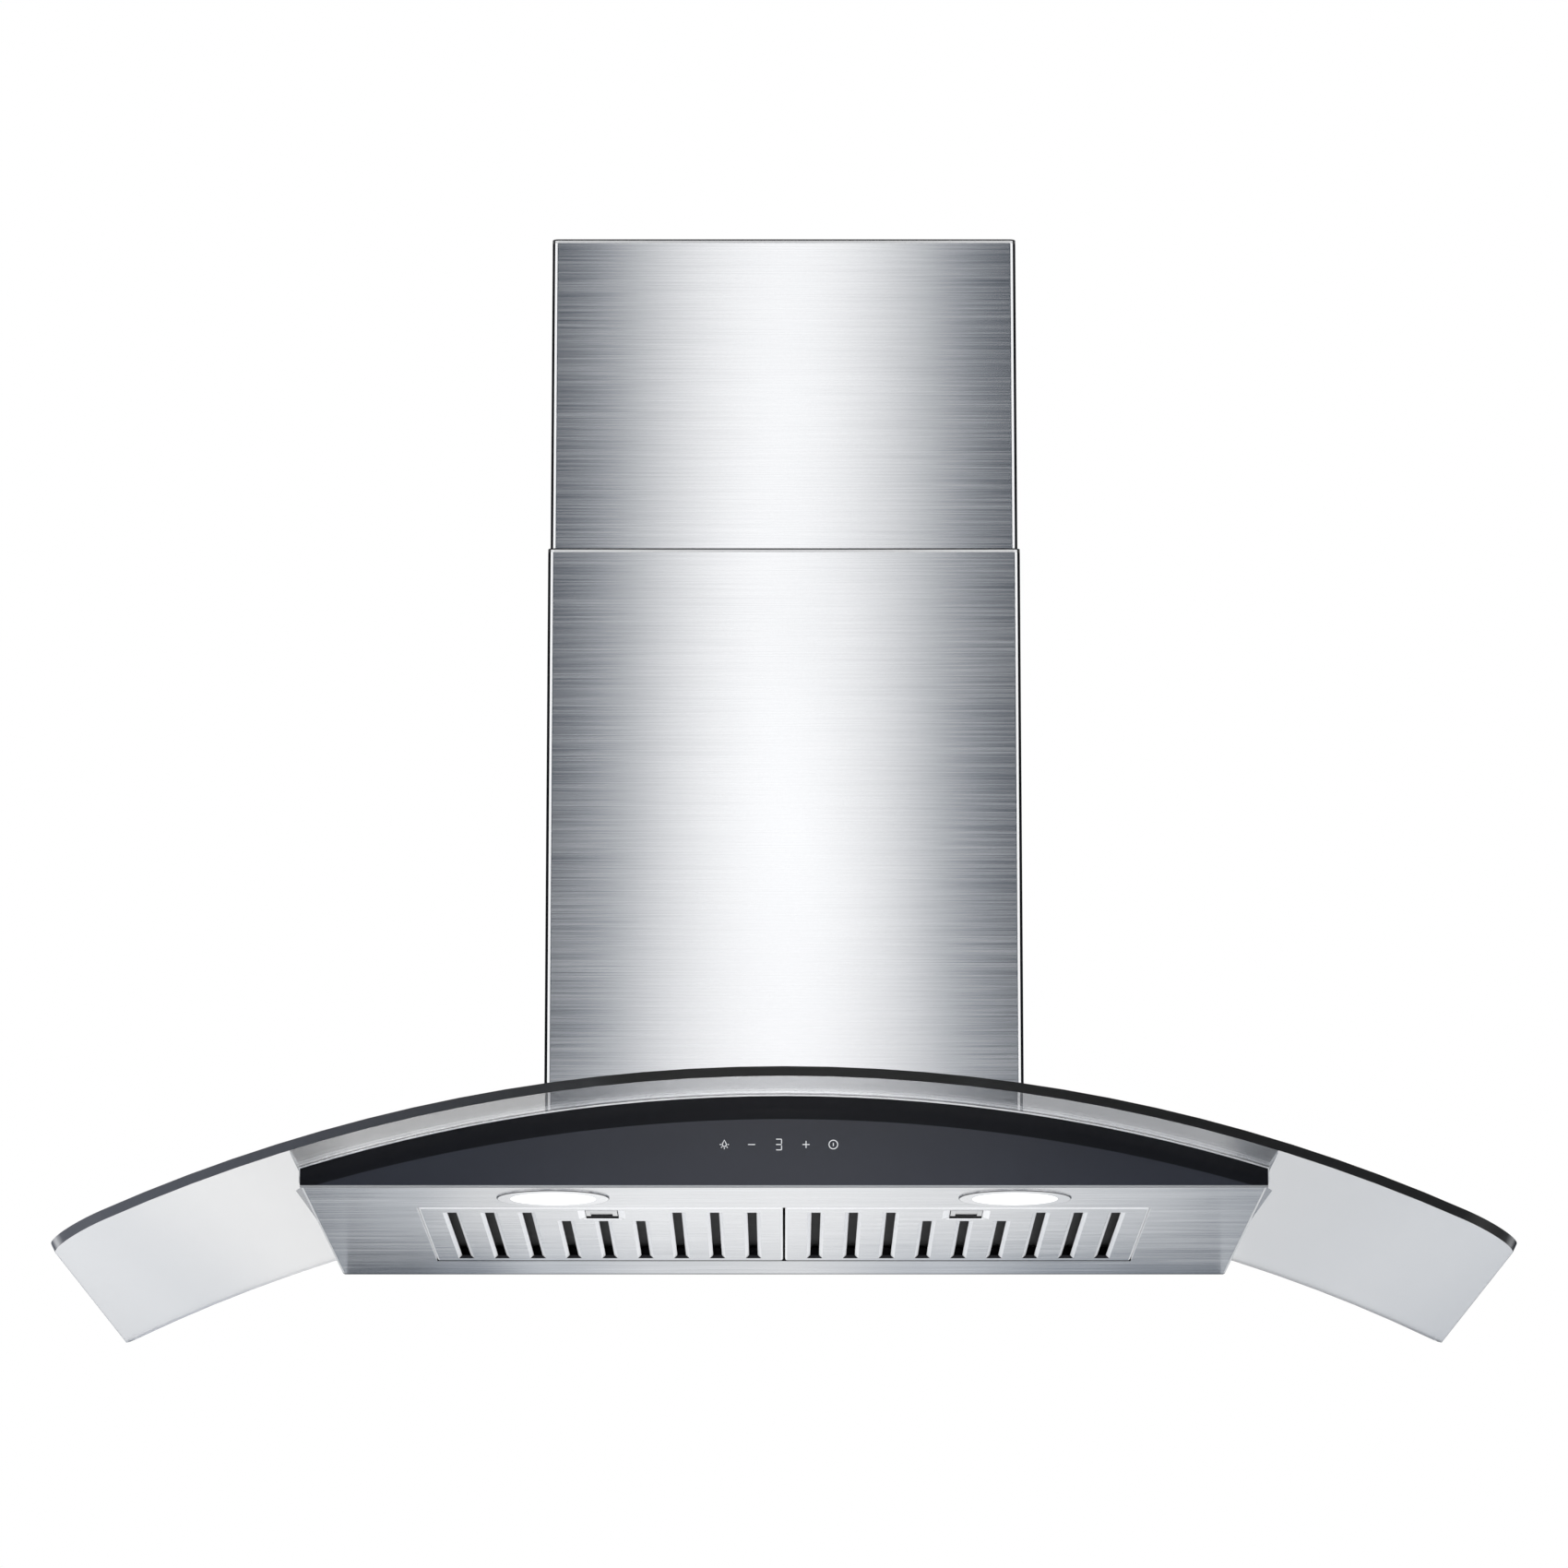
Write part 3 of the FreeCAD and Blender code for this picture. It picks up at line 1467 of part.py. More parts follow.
save("glass_canopy", glass_canopy())
save("glass_gasket", glass_gasket())
save("glass_bushes", glass_bushes())
save("clamp_gasket", clamp_gasket())
save("glass_clamp_frame", glass_clamp_frame())
save("glass_bolts", glass_bolts())
save("body_panel", body_panel())
save("top_deck", top_deck())
save("fascia_glass", fascia_glass())

filter_pieces = (
    ("filter_face", filter_face()),
    ("filter_backing", filter_backing()),
    ("filter_latch", filter_latch()),
)
for name, piece in filter_pieces:
    save(name + "_right", piece)
    save(name + "_left", mirror_x(piece))

for word, side in SIDES:
    save("lamp_bezel_" + word, lamp_bezel(side))
    save("lamp_lens_" + word, lamp_lens(side))
    save("lamp_heat_sink_" + word, lamp_heat_sink(side))
save("led_boards", led_boards())
save("lamp_clips", lamp_clips())

save("board_bracket", board_bracket())
save("touch_board", touch_board())
save("touch_pads", touch_pads())
save("display_module", display_module())
save("control_box", control_box())
save("control_box_lid", control_box_lid())
save("power_board", power_board())
save("led_driver", led_driver())

save("blower_neck", blower_neck())
save("air_box", air_box())
save("air_box_cover", air_box_cover())
save("cover_screws", cover_screws())
save("wall_hanging_plate", wall_hanging_plate())
save("air_box_hook", air_box_hook())

save("scroll_housing", scroll_housing())
save("scroll_cover", scroll_cover())
save("impeller", impeller())
save("motor_shaft", motor_shaft())
save("motor", motor())
save("motor_bracket", motor_bracket())
save("motor_screws", motor_screws())
save("capacitor", capacitor())

knuckle_step = damper_knuckle_length + running_gap
save("outlet_adapter", outlet_adapter())
save("outlet_screws", outlet_screws())
save("damper_pin", damper_pin())
save("damper_flap_front", damper_flap(-1, (-1.5 * knuckle_step, 0.5 * knuckle_step)))
save("damper_flap_rear", damper_flap(1, (-0.5 * knuckle_step, 1.5 * knuckle_step)))
save("junction_box", junction_box())
save("cable_gland", cable_gland())

save("lower_chimney", lower_chimney())
save("chimney_screws", chimney_screws())
save("upper_chimney", upper_chimney())
save("chimney_wall_bracket", chimney_wall_bracket())
save("bracket_screws", bracket_screws())
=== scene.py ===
# %% [markdown]
# # Dressing a wall mount range hood
# The hood hangs on a kitchen wall: an arched glass canopy on a slim steel body, with a chimney above it.
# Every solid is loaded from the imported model, in metres and in its place.
# This lesson gives each piece its finish, adds the signs on the touch panel and sets up the light.

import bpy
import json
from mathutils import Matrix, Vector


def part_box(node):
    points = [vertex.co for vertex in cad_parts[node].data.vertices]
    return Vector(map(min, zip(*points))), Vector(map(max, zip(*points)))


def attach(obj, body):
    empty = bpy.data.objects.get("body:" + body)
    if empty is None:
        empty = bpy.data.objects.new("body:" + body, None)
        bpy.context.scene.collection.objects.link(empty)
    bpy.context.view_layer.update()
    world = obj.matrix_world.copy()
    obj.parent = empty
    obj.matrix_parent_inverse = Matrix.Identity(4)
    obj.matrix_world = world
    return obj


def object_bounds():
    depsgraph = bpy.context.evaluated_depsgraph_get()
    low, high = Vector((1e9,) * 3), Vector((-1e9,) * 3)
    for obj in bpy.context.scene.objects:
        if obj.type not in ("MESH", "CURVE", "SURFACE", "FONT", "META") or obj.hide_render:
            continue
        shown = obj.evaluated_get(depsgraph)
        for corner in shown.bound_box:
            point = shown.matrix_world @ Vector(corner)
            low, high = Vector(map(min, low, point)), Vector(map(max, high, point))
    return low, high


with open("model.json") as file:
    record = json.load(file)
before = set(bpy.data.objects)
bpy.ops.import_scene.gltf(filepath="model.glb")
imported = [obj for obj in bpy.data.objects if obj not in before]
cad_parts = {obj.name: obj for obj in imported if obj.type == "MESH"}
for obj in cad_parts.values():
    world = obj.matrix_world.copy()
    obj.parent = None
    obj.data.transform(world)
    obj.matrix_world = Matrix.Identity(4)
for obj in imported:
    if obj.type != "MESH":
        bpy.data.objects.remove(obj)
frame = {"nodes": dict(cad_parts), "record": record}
cad_low, cad_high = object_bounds()
nodes = frame["nodes"]
print("nodes loaded:", len(nodes), "box:", tuple(cad_low), tuple(cad_high))

# %% Modules for the lesson
import json
import math

import bmesh
import bpy
from mathutils import Vector

scene = bpy.context.scene
scene.view_settings.view_transform = "Standard"
MM = 0.001
print("view transform:", scene.view_settings.view_transform)

# %% [markdown]
# ## Helpers for node trees
# Each finish is a node material with one Principled shader.
# Small helpers carry the wiring, so that each recipe shows what the finish does.
# Each makes or feeds one node, or finds where the surface is.

# %% Node helpers
def add_node(tree, kind, **settings):
    """New node in a tree, with its properties set."""
    node = tree.nodes.new(kind)
    for name, value in settings.items():
        setattr(node, name, value)
    return node


def feed(tree, socket, value):
    """Give a socket a number, a colour of three numbers, or a link from another socket."""
    if isinstance(value, (int, float)):
        socket.default_value = value
    elif isinstance(value, tuple):
        socket.default_value = (*value, 1.0)
    else:
        tree.links.new(value, socket)


def drive(tree, node, **sources):
    """Feed a node's inputs by name. Words in a name are joined by underscores."""
    for label, source in sources.items():
        feed(tree, node.inputs[label.replace("_", " ")], source)


def maths(tree, operation, first, second=0.0):
    """Math node on one or two values, each a number or a socket."""
    node = add_node(tree, "ShaderNodeMath", operation=operation)
    feed(tree, node.inputs[0], first)
    feed(tree, node.inputs[1], second)
    return node.outputs[0]


def stretch(tree, value, from_low, from_high, low=0.0, high=1.0):
    """Map a value from one range to another, clamped."""
    node = add_node(tree, "ShaderNodeMapRange")
    drive(tree, node, Value=value, From_Min=from_low, From_Max=from_high, To_Min=low, To_Max=high)
    return node.outputs["Result"]


print("node helpers ready")

# %% Mixing helpers
def blend_values(tree, mask, low, high):
    """Value between two, by a mask. Each is a number or a socket."""
    node = add_node(tree, "ShaderNodeMix", data_type="FLOAT")
    for socket, value in zip((node.inputs[0], node.inputs[2], node.inputs[3]), (mask, low, high)):
        feed(tree, socket, value)
    return node.outputs[0]


def blend(tree, mask, low, high):
    """Colour between two, by a mask. Each is three numbers or a socket."""
    node = add_node(tree, "ShaderNodeMix", data_type="RGBA")
    for socket, value in zip((node.inputs[0], node.inputs[6], node.inputs[7]), (mask, low, high)):
        feed(tree, socket, value)
    return node.outputs[2]


print("mixing helpers ready")

# %% Mask helpers
def is_above(tree, value, limit):
    """1 where a value is more than its limit, and 0 elsewhere."""
    return maths(tree, "GREATER_THAN", value, limit)


def is_below(tree, value, limit):
    """1 where a value is less than its limit, and 0 elsewhere."""
    return maths(tree, "LESS_THAN", value, limit)


def both(tree, first, second):
    """Mask of what two masks share."""
    return maths(tree, "MULTIPLY", first, second)


def either(tree, first, second):
    """Mask of what at least one of two masks has."""
    return maths(tree, "MAXIMUM", first, second)


print("mask helpers ready")

# %% Coordinate helpers
def surface_place(tree):
    """Place on the surface, in the solid's own axes."""
    return add_node(tree, "ShaderNodeTexCoord").outputs["Object"]


def split_axes(tree, vector):
    """X, Y and Z of a vector socket."""
    split = add_node(tree, "ShaderNodeSeparateXYZ")
    tree.links.new(vector, split.inputs[0])
    return split.outputs


def place_axes(tree):
    """X, Y and Z of the place on the surface."""
    return split_axes(tree, surface_place(tree))


def facing_axes(tree):
    """X, Y and Z of the way that the surface faces, in the solid's own axes."""
    return split_axes(tree, add_node(tree, "ShaderNodeTexCoord").outputs["Normal"])


def flat_vector(tree, first, second):
    """Vector that has two sockets as its X and Y."""
    joined = add_node(tree, "ShaderNodeCombineXYZ")
    drive(tree, joined, X=first, Y=second)
    return joined.outputs[0]


def vector_length(tree, vector):
    """Length of a vector socket."""
    reach = add_node(tree, "ShaderNodeVectorMath", operation="LENGTH")
    tree.links.new(vector, reach.inputs[0])
    return reach.outputs["Value"]


def noise(tree, vector, scale, detail, dimensions="3D"):
    """Noise texture on a vector socket."""
    node = add_node(tree, "ShaderNodeTexNoise", noise_dimensions=dimensions)
    drive(tree, node, Vector=vector, Scale=scale, Detail=detail)
    return node.outputs["Fac"]


print("coordinate helpers ready")

# %% Group helpers
SOCKETS = {"value": "NodeSocketFloat", "vector": "NodeSocketVector"}


def start_group(name, inputs, outputs):
    """Empty shader group with named sockets. Inputs are values with a default."""
    group = bpy.data.node_groups.new(name, "ShaderNodeTree")
    for label, default in inputs.items():
        socket = group.interface.new_socket(label, in_out="INPUT", socket_type=SOCKETS["value"])
        socket.default_value = default
    for label, kind in outputs.items():
        group.interface.new_socket(label, in_out="OUTPUT", socket_type=SOCKETS[kind])
    entry = add_node(group, "NodeGroupInput")
    exit_node = add_node(group, "NodeGroupOutput")
    return group, entry.outputs, exit_node


def use_group(tree, group, **values):
    """Place a group in a material, with values for its inputs."""
    node = add_node(tree, "ShaderNodeGroup", node_tree=group)
    for name, value in values.items():
        node.inputs[name.replace("_", " ").title()].default_value = value
    return node.outputs


print("group helpers ready")

# %% [markdown]
# ## Brushed grain
# Stainless sheet is brushed with a belt, so it carries thousands of fine level scratches.
# A stretched noise looks like that if it is long along the brushing and fine across it.
# The grain must stay level on the front, on the sides and underneath.
# So the group reads the surface's own direction and picks which two coordinates to use.

# %% Brushed grain group
SQUARE_ON = 0.7
SCRATCH_DETAIL = 5.0
STREAK_DETAIL = 2.0
STREAK_ALONG = 0.45
STREAK_ACROSS = 0.22


def make_brushed_grain():
    """Tone of a brushed sheet: fine scratches, with longer and wider streaks among them."""
    group, given, out = start_group(
        "brushed_grain", {"Grain Length": 0.09, "Grain Pitch": 1.1 * MM, "Streak Share": 0.4},
        {"Tone": "value"})
    place, facing = place_axes(group), facing_axes(group)
    on_side = is_above(group, maths(group, "ABSOLUTE", facing["X"]), SQUARE_ON)
    on_level = is_above(group, maths(group, "ABSOLUTE", facing["Z"]), SQUARE_ON)
    along = blend_values(group, on_side, place["X"], place["Y"])
    across = blend_values(group, on_level, place["Z"], place["Y"])
    along = maths(group, "DIVIDE", along, given["Grain Length"])
    across = maths(group, "DIVIDE", across, given["Grain Pitch"])
    fine = noise(group, flat_vector(group, along, across), 1.0, SCRATCH_DETAIL, "2D")
    along = maths(group, "MULTIPLY", along, STREAK_ALONG)
    across = maths(group, "MULTIPLY", across, STREAK_ACROSS)
    broad = noise(group, flat_vector(group, along, across), 1.0, STREAK_DETAIL, "2D")
    scratches = stretch(group, fine, 0.28, 0.72)
    streaks = stretch(group, broad, 0.25, 0.75)
    drive(group, out, Tone=blend_values(group, given["Streak Share"], scratches, streaks))
    return group


brushed_grain = make_brushed_grain()
print("group:", brushed_grain.name)

# %% [markdown]
# ## Soft marks and skins
# Glass and steel that are handled carry faint smears, and moulded plastic has a fine skin from its tool.
# Zinc coated sheet shows spangles, flat crystals of a few millimetres.
# Each is a small group, so that several materials share one recipe with their own scale.

# %% Smears, moulded skin and zinc spangle groups
def make_smears():
    """Mask of wide, faint smears."""
    group, given, out = start_group("soft_smears", {"Scale": 6.0}, {"Mask": "value"})
    wide = add_node(group, "ShaderNodeTexNoise")
    drive(group, wide, Vector=surface_place(group), Scale=given["Scale"], Detail=3.0, Distortion=0.6)
    drive(group, out, Mask=stretch(group, wide.outputs["Fac"], 0.35, 0.75))
    return group


def make_moulded_skin():
    """Cloudy tone of a moulded face, and the height of its fine grain."""
    group, given, out = start_group(
        "moulded_skin", {"Scale": 900.0}, {"Tone": "value", "Height": "value"})
    place = surface_place(group)
    grain = add_node(group, "ShaderNodeTexVoronoi", feature="SMOOTH_F1")
    drive(group, grain, Vector=place, Scale=given["Scale"])
    cloud = noise(group, place, 14.0, 4.0)
    drive(group, out, Tone=stretch(group, cloud, 0.3, 0.7), Height=grain.outputs["Distance"])
    return group


def make_zinc_spangle():
    """Tone of crystals with a little frost on them, and the height of that frost."""
    group, given, out = start_group(
        "zinc_spangle", {"Scale": 95.0}, {"Tone": "value", "Height": "value"})
    place = surface_place(group)
    flakes = add_node(group, "ShaderNodeTexVoronoi")
    drive(group, flakes, Vector=place, Scale=given["Scale"])
    crystal = add_node(group, "ShaderNodeSeparateColor")
    drive(group, crystal, Color=flakes.outputs["Color"])
    frost = noise(group, place, 420.0, 3.0)
    drive(group, out, Tone=blend_values(group, 0.3, crystal.outputs[0], frost), Height=frost)
    return group


soft_smears = make_smears()
moulded_skin = make_moulded_skin()
zinc_spangle = make_zinc_spangle()
print("groups:", [g.name for g in bpy.data.node_groups])

# %% [markdown]
# ## Painted lines along the chimney's bends
# Each chimney cover is one sheet, folded at two upright corners.
# The fold gets a painted highlight line, and where it turns away to the side a painted shade line.
# These lines are about a millimetre wide, so they are found from the way that the surface faces.
# The same group marks the top edge for a painted shade line, and marks the foot that stands behind the
# glass.

# %% Bend line group
BEND_START = 0.06
BEND_OUTER = 0.52
FLAT_SIDE = 0.99


def make_painted_fold_lines():
    """Painted highlight and shade lines on the upright bends of a cover, a painted shade line at its
    rounded top edge, the slope of that edge, and its foot.
    """
    group, given, out = start_group(
        "painted_fold_lines", {"Top": 0.0, "Foot": 0.0, "Line Width": 0.9 * MM, "Rim Width": 2.6 * MM},
        {"Dark": "value", "Light": "value", "Rim": "value", "Low": "value"})
    height = place_axes(group)["Z"]
    turned = maths(group, "ABSOLUTE", facing_axes(group)["X"])
    flat_side = is_above(group, turned, FLAT_SIDE)
    bent = maths(group, "SUBTRACT", is_above(group, turned, BEND_START), flat_side)
    outer = maths(group, "SUBTRACT", is_above(group, turned, BEND_OUTER), flat_side)
    below_top = maths(group, "SUBTRACT", given["Top"], height)
    top_line = is_below(group, below_top, given["Line Width"])
    rim = maths(group, "DIVIDE", below_top, given["Rim Width"])
    # Light is a painted highlight on the bends; Dark is painted shade on their outer part and along the
    # top edge.
    drive(group, out, Light=bent, Dark=either(group, outer, top_line),
          Rim=maths(group, "MINIMUM", rim, 1.0), Low=is_below(group, height, given["Foot"]))
    return group


painted_fold_lines = make_painted_fold_lines()
print("group:", painted_fold_lines.name)

# %% [markdown]
# ## Edges of the body and the filters
# The underside is full of small edges: slots with sloping lips, and filters that sit in openings.
# Lips and the walls of the openings get a painted highlight, while cuts that face the room and the rear
# fold get painted shade.
# The solids have all these faces, so a group only has to tell them apart by place and direction.

# %% Panel edge group
CUT_FACING = -0.35
FOLD_FACING = -0.5
LIP_SLOPE = 0.15
LIP_DOWNWARD = -0.25
WALL_FACING = 0.9
WALL_START = 0.5


def make_panel_edges():
    """Masks of a panel's edges. Dark is painted shade on cuts that face the room and on the rear fold.
    Bright is a painted highlight on sloping lips, a strip at the front and the side walls of an opening."""
    group, given, out = start_group(
        "panel_edges", {"Front Limit": 0.0, "Rear Limit": 0.0, "Front Strip": -1.0, "Wall Reach": 0.0},
        {"Dark": "value", "Bright": "value"})
    place, facing = place_axes(group), facing_axes(group)
    turned = maths(group, "ABSOLUTE", facing["X"])
    aside = maths(group, "ABSOLUTE", place["X"])
    cut = is_below(group, facing["Y"], CUT_FACING)
    cut = both(group, cut, is_above(group, place["Y"], given["Front Limit"]))
    fold = is_below(group, facing["Z"], FOLD_FACING)
    fold = both(group, fold, is_above(group, place["Y"], given["Rear Limit"]))
    # Painted shade: cuts that face the room and the rear fold.
    dark = either(group, cut, fold)
    # Painted highlight: sloping lips, the front strip and the walls of an opening.
    lip = either(group, is_above(group, turned, LIP_SLOPE), is_below(group, facing["Y"], -LIP_SLOPE))
    lip = either(group, lip, is_below(group, place["Y"], given["Front Strip"]))
    lip = both(group, lip, is_below(group, facing["Z"], LIP_DOWNWARD))
    wall = both(group, is_above(group, turned, WALL_FACING), is_below(group, aside, given["Wall Reach"]))
    wall_start = maths(group, "MULTIPLY", given["Wall Reach"], WALL_START)
    wall = both(group, wall, is_above(group, aside, wall_start))
    bright = maths(group, "SUBTRACT", either(group, lip, wall), dark)
    drive(group, out, Dark=dark, Bright=maths(group, "MAXIMUM", bright, 0.0))
    return group


panel_edges = make_panel_edges()
print("group:", panel_edges.name)

# %% [markdown]
# ## Rounded edges
# A bent or cut sheet never has a perfectly sharp corner, and that thin rounding catches the light.
# Bevelling thousands of CAD edges would change the solids, so the rounding is made in shading.
# The Bevel node averages the surface's direction near an edge, and the result goes through a Bump node.

# %% Soft edge group and bump helper
def make_soft_edge():
    """Direction of the surface, rounded near its edges."""
    group, given, out = start_group("soft_edge", {"Radius": 0.6 * MM}, {"Normal": "vector"})
    round_over = add_node(group, "ShaderNodeBevel", samples=4)
    drive(group, round_over, Radius=given["Radius"])
    drive(group, out, Normal=round_over.outputs["Normal"])
    return group


def bump(tree, height, distance, normal=None):
    """Direction of a surface with a height in metres, on top of another direction if given."""
    node = add_node(tree, "ShaderNodeBump")
    drive(tree, node, Height=height, Distance=distance)
    if normal is not None:
        drive(tree, node, Normal=normal)
    return node.outputs["Normal"]


soft_edge = make_soft_edge()
print("group:", soft_edge.name)

# %% Material helper
def start_material(name, **constants):
    """Material with one Principled shader, whose constants are set on its own sockets."""
    material = bpy.data.materials.new(name)
    material.use_nodes = True
    tree = material.node_tree
    shader = tree.nodes["Principled BSDF"]
    drive(tree, shader, **constants)
    return material, tree, shader


print("material helper ready")

# %% [markdown]
# ## Brushed steel
# The chimney covers, the body and the filters are stainless sheet with a level grain.
# Light that falls across the scratches spreads up and down but stays narrow from side to side.
# The shader's anisotropy does that, and a Tangent node says which way the grain runs.
# Round the upright chimney the tangent turns about Z, and on the flat body it turns about X.

# %% Brushed steel recipe
GRAIN_DEPTH = 0.004 * MM
GRAIN_ROUGH = (0.17, 0.25)
SMEAR_ROUGH = 0.03
# Colours for painted light: painted shade on dark lines and cuts, painted highlight on bends, lips and
# the chimney's foot.
PAINTED_SHADE = (0.02, 0.02, 0.023)
PAINTED_HIGHLIGHT = (0.95, 0.955, 0.97)
BLACK = (0.0, 0.0, 0.0)


def brushed_steel(name, dark, light, tangent_axis, turn, **grain_sizes):
    """Steel with a level grain. Its colour and grain are returned for additions."""
    material, tree, shader = start_material(
        name, Metallic=1.0, Anisotropic=0.85, Anisotropic_Rotation=turn)
    grain = use_group(tree, brushed_grain, **grain_sizes)["Tone"]
    smears = use_group(tree, soft_smears, scale=5.0)["Mask"]
    tangent = add_node(tree, "ShaderNodeTangent", direction_type="RADIAL", axis=tangent_axis)
    rough = stretch(tree, grain, 0.0, 1.0, *GRAIN_ROUGH)
    rough = maths(tree, "ADD", rough, stretch(tree, smears, 0.0, 1.0, 0.0, SMEAR_ROUGH))
    drive(tree, shader, Tangent=tangent.outputs[0], Roughness=rough)
    return material, tree, shader, blend(tree, grain, dark, light), grain


print("steel recipe ready")

# %% [markdown]
# ## Chimney covers
# The covers have the finest grain, and painted highlight and shade lines along their bends.
# The lower one is painted paler towards its foot as painted light, and through the glass its foot gets
# more painted light and a faint painted glow.
# The Light Path node knows which rays have come through glass, so only those see the palest foot.

# %% Chimney cover materials
QUARTER_TURN = 0.25
RIM_DEPTH = 1.8 * MM
GLASS_VIEW = 40.0 * MM
FOOT_PAINTED_LIGHT = 0.35
GLASS_FOOT_PAINTED_LIGHT = 0.7
FOOT_LIGHT = (0.27, 0.273, 0.28)
FOOT_SPAN = (0.02, 0.15)
FOOT_SIDE = 0.35
glass_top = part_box("glass_canopy")[1].z
lower_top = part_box("lower_chimney")[1].z


def cover_steel(name, cover):
    """Chimney sheet with painted highlight and shade lines along its bends, a rounded top edge and a foot
    paled with painted light.
    """
    material, tree, shader, tone, grain = brushed_steel(
        name, (0.68, 0.688, 0.703), (0.885, 0.891, 0.903), "Z", QUARTER_TURN,
        grain_length=0.1, grain_pitch=0.85 * MM, streak_share=0.2)
    place = place_axes(tree)
    # Painted light: the base colour turns paler towards the lower cover's foot.
    fade = stretch(tree, place["Z"], lower_top, glass_top, 0.0, FOOT_PAINTED_LIGHT)
    lines = use_group(tree, painted_fold_lines, top=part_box(cover)[1].z, foot=glass_top + GLASS_VIEW)
    # Painted highlight and painted shade lines go over the grain.
    for mask, colour in ((fade, PAINTED_HIGHLIGHT), (lines["Light"], PAINTED_HIGHLIGHT), (lines["Dark"], PAINTED_SHADE)):
        tone = blend(tree, mask, tone, colour)
    # Painted light where the foot is seen through the glass: a paler colour and a faint glow.
    path = add_node(tree, "ShaderNodeLightPath")
    behind_glass = both(tree, lines["Low"], path.outputs["Is Transmission Ray"])
    painted_light_behind_glass = maths(tree, "MULTIPLY", behind_glass, GLASS_FOOT_PAINTED_LIGHT)
    from_middle = maths(tree, "ABSOLUTE", place["X"])
    lit = both(tree, behind_glass, stretch(tree, from_middle, *FOOT_SPAN, 1.0, FOOT_SIDE))
    rim = bump(tree, lines["Rim"], RIM_DEPTH)
    drive(tree, shader, Base_Color=blend(tree, painted_light_behind_glass, tone, PAINTED_HIGHLIGHT), Emission_Strength=1.0,
          Emission_Color=blend(tree, lit, BLACK, FOOT_LIGHT),
          Normal=bump(tree, grain, GRAIN_DEPTH, rim))
    return material


upper_steel = cover_steel("upper_cover_steel", "upper_chimney")
lower_steel = cover_steel("lower_cover_steel", "lower_chimney")
print("covers:", upper_steel.name, lower_steel.name)

# %% [markdown]
# ## Body, roof and filters
# The flat sheets have a coarser grain than the covers.
# On the body and the filters the panel edges are added: cuts in painted shade, and lips in a painted
# highlight with a faint painted glow.
# The painted glow makes the lips read as the thin light lines that the real sheet shows there.
# The roof sheet under the glass is a plain arch, so it has no edges to tell apart.

# %% Flat steel materials
# Painted glow and lower metalness that make the lips read as a painted highlight.
BEND_LIGHT = (0.15, 0.151, 0.153)
BEND_METAL = 0.25
REAR_FOLD = 5.0 * MM
FILTER_FRONT = 5.0 * MM
FILTER_REAR = 4.0 * MM
OPENING_REACH = 0.28


def panel_steel(name, dark, edge_radius, grain_length, grain_pitch, **limits):
    """Flat sheet. Where limits are given, its cut edges get painted shade and its lips a painted
    highlight with a faint glow.
    """
    material, tree, shader, tone, grain = brushed_steel(
        name, dark, (0.865, 0.873, 0.886), "X", 0.0, grain_length=grain_length, grain_pitch=grain_pitch)
    if limits:
        edges = use_group(tree, panel_edges, **limits)
        # Painted highlight and glow on the lips, painted shade on the cuts.
        tone = blend(tree, edges["Bright"], tone, PAINTED_HIGHLIGHT)
        tone = blend(tree, edges["Dark"], tone, PAINTED_SHADE)
        drive(tree, shader, Metallic=blend_values(tree, edges["Bright"], 1.0, BEND_METAL),
              Emission_Strength=1.0,
              Emission_Color=blend(tree, edges["Bright"], BLACK, BEND_LIGHT))
    edge = use_group(tree, soft_edge, radius=edge_radius)["Normal"]
    drive(tree, shader, Base_Color=tone, Normal=bump(tree, grain, GRAIN_DEPTH, edge))
    return material


filter_low, filter_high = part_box("filter_backing_left")
face_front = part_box("filter_face_left")[0].y
body_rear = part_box("body_panel")[1].y
body_steel = panel_steel(
    "body_steel", (0.605, 0.612, 0.63), 0.8 * MM, 0.08, 2.4 * MM,
    front_limit=filter_high.y, rear_limit=body_rear - REAR_FOLD, wall_reach=OPENING_REACH)
deck_steel = panel_steel("deck_steel", (0.6, 0.615, 0.665), 0.8 * MM, 0.08, 2.4 * MM)
filter_steel = panel_steel(
    "filter_steel", (0.645, 0.652, 0.668), 0.6 * MM, 0.05, 2.0 * MM,
    front_limit=filter_low.y + FILTER_FRONT, rear_limit=filter_high.y - FILTER_REAR,
    front_strip=face_front + FILTER_FRONT)
print("steel:", body_steel.name, deck_steel.name, filter_steel.name)

# %% [markdown]
# ## Clear glass canopy
# The canopy is clear tempered glass of 6 mm with ground edges, a little grey to look through.
# Next to the body it is seen at a shallow angle and mirrors more white than at its tips.
# So its tint is painted deepest there as painted shade, and the wings come out as one even grey; over the
# body it is painted clear, as painted light on what lies behind.
# The ground edge is painted slate on the left, fading to black on the right, as painted light and shade,
# with a painted glow along the left edge and a painted glint at the front corners.

# %% Clear glass
ARRIS = 2.6 * MM
STANDING = 0.8
BODY_END = (0.265, 0.295)
WING_SPAN = (0.3, 0.44)
EDGE_FADE = (-0.05, 0.25)
GLOW_SPAN = (-0.1, -0.42)
CORNER_START = (-0.62, -0.48)
CORNER_END = (-0.42, -0.28)
# Painted tint: clear over the body, darkest grey near it as painted shade, paler at the wing tips.
CLEAR = (0.97, 0.975, 0.985)
NEAR_BODY = (0.625, 0.631, 0.642)
NEAR_BODY_SMEARED = (0.61, 0.616, 0.627)
WING_TIP = (0.89, 0.897, 0.91)
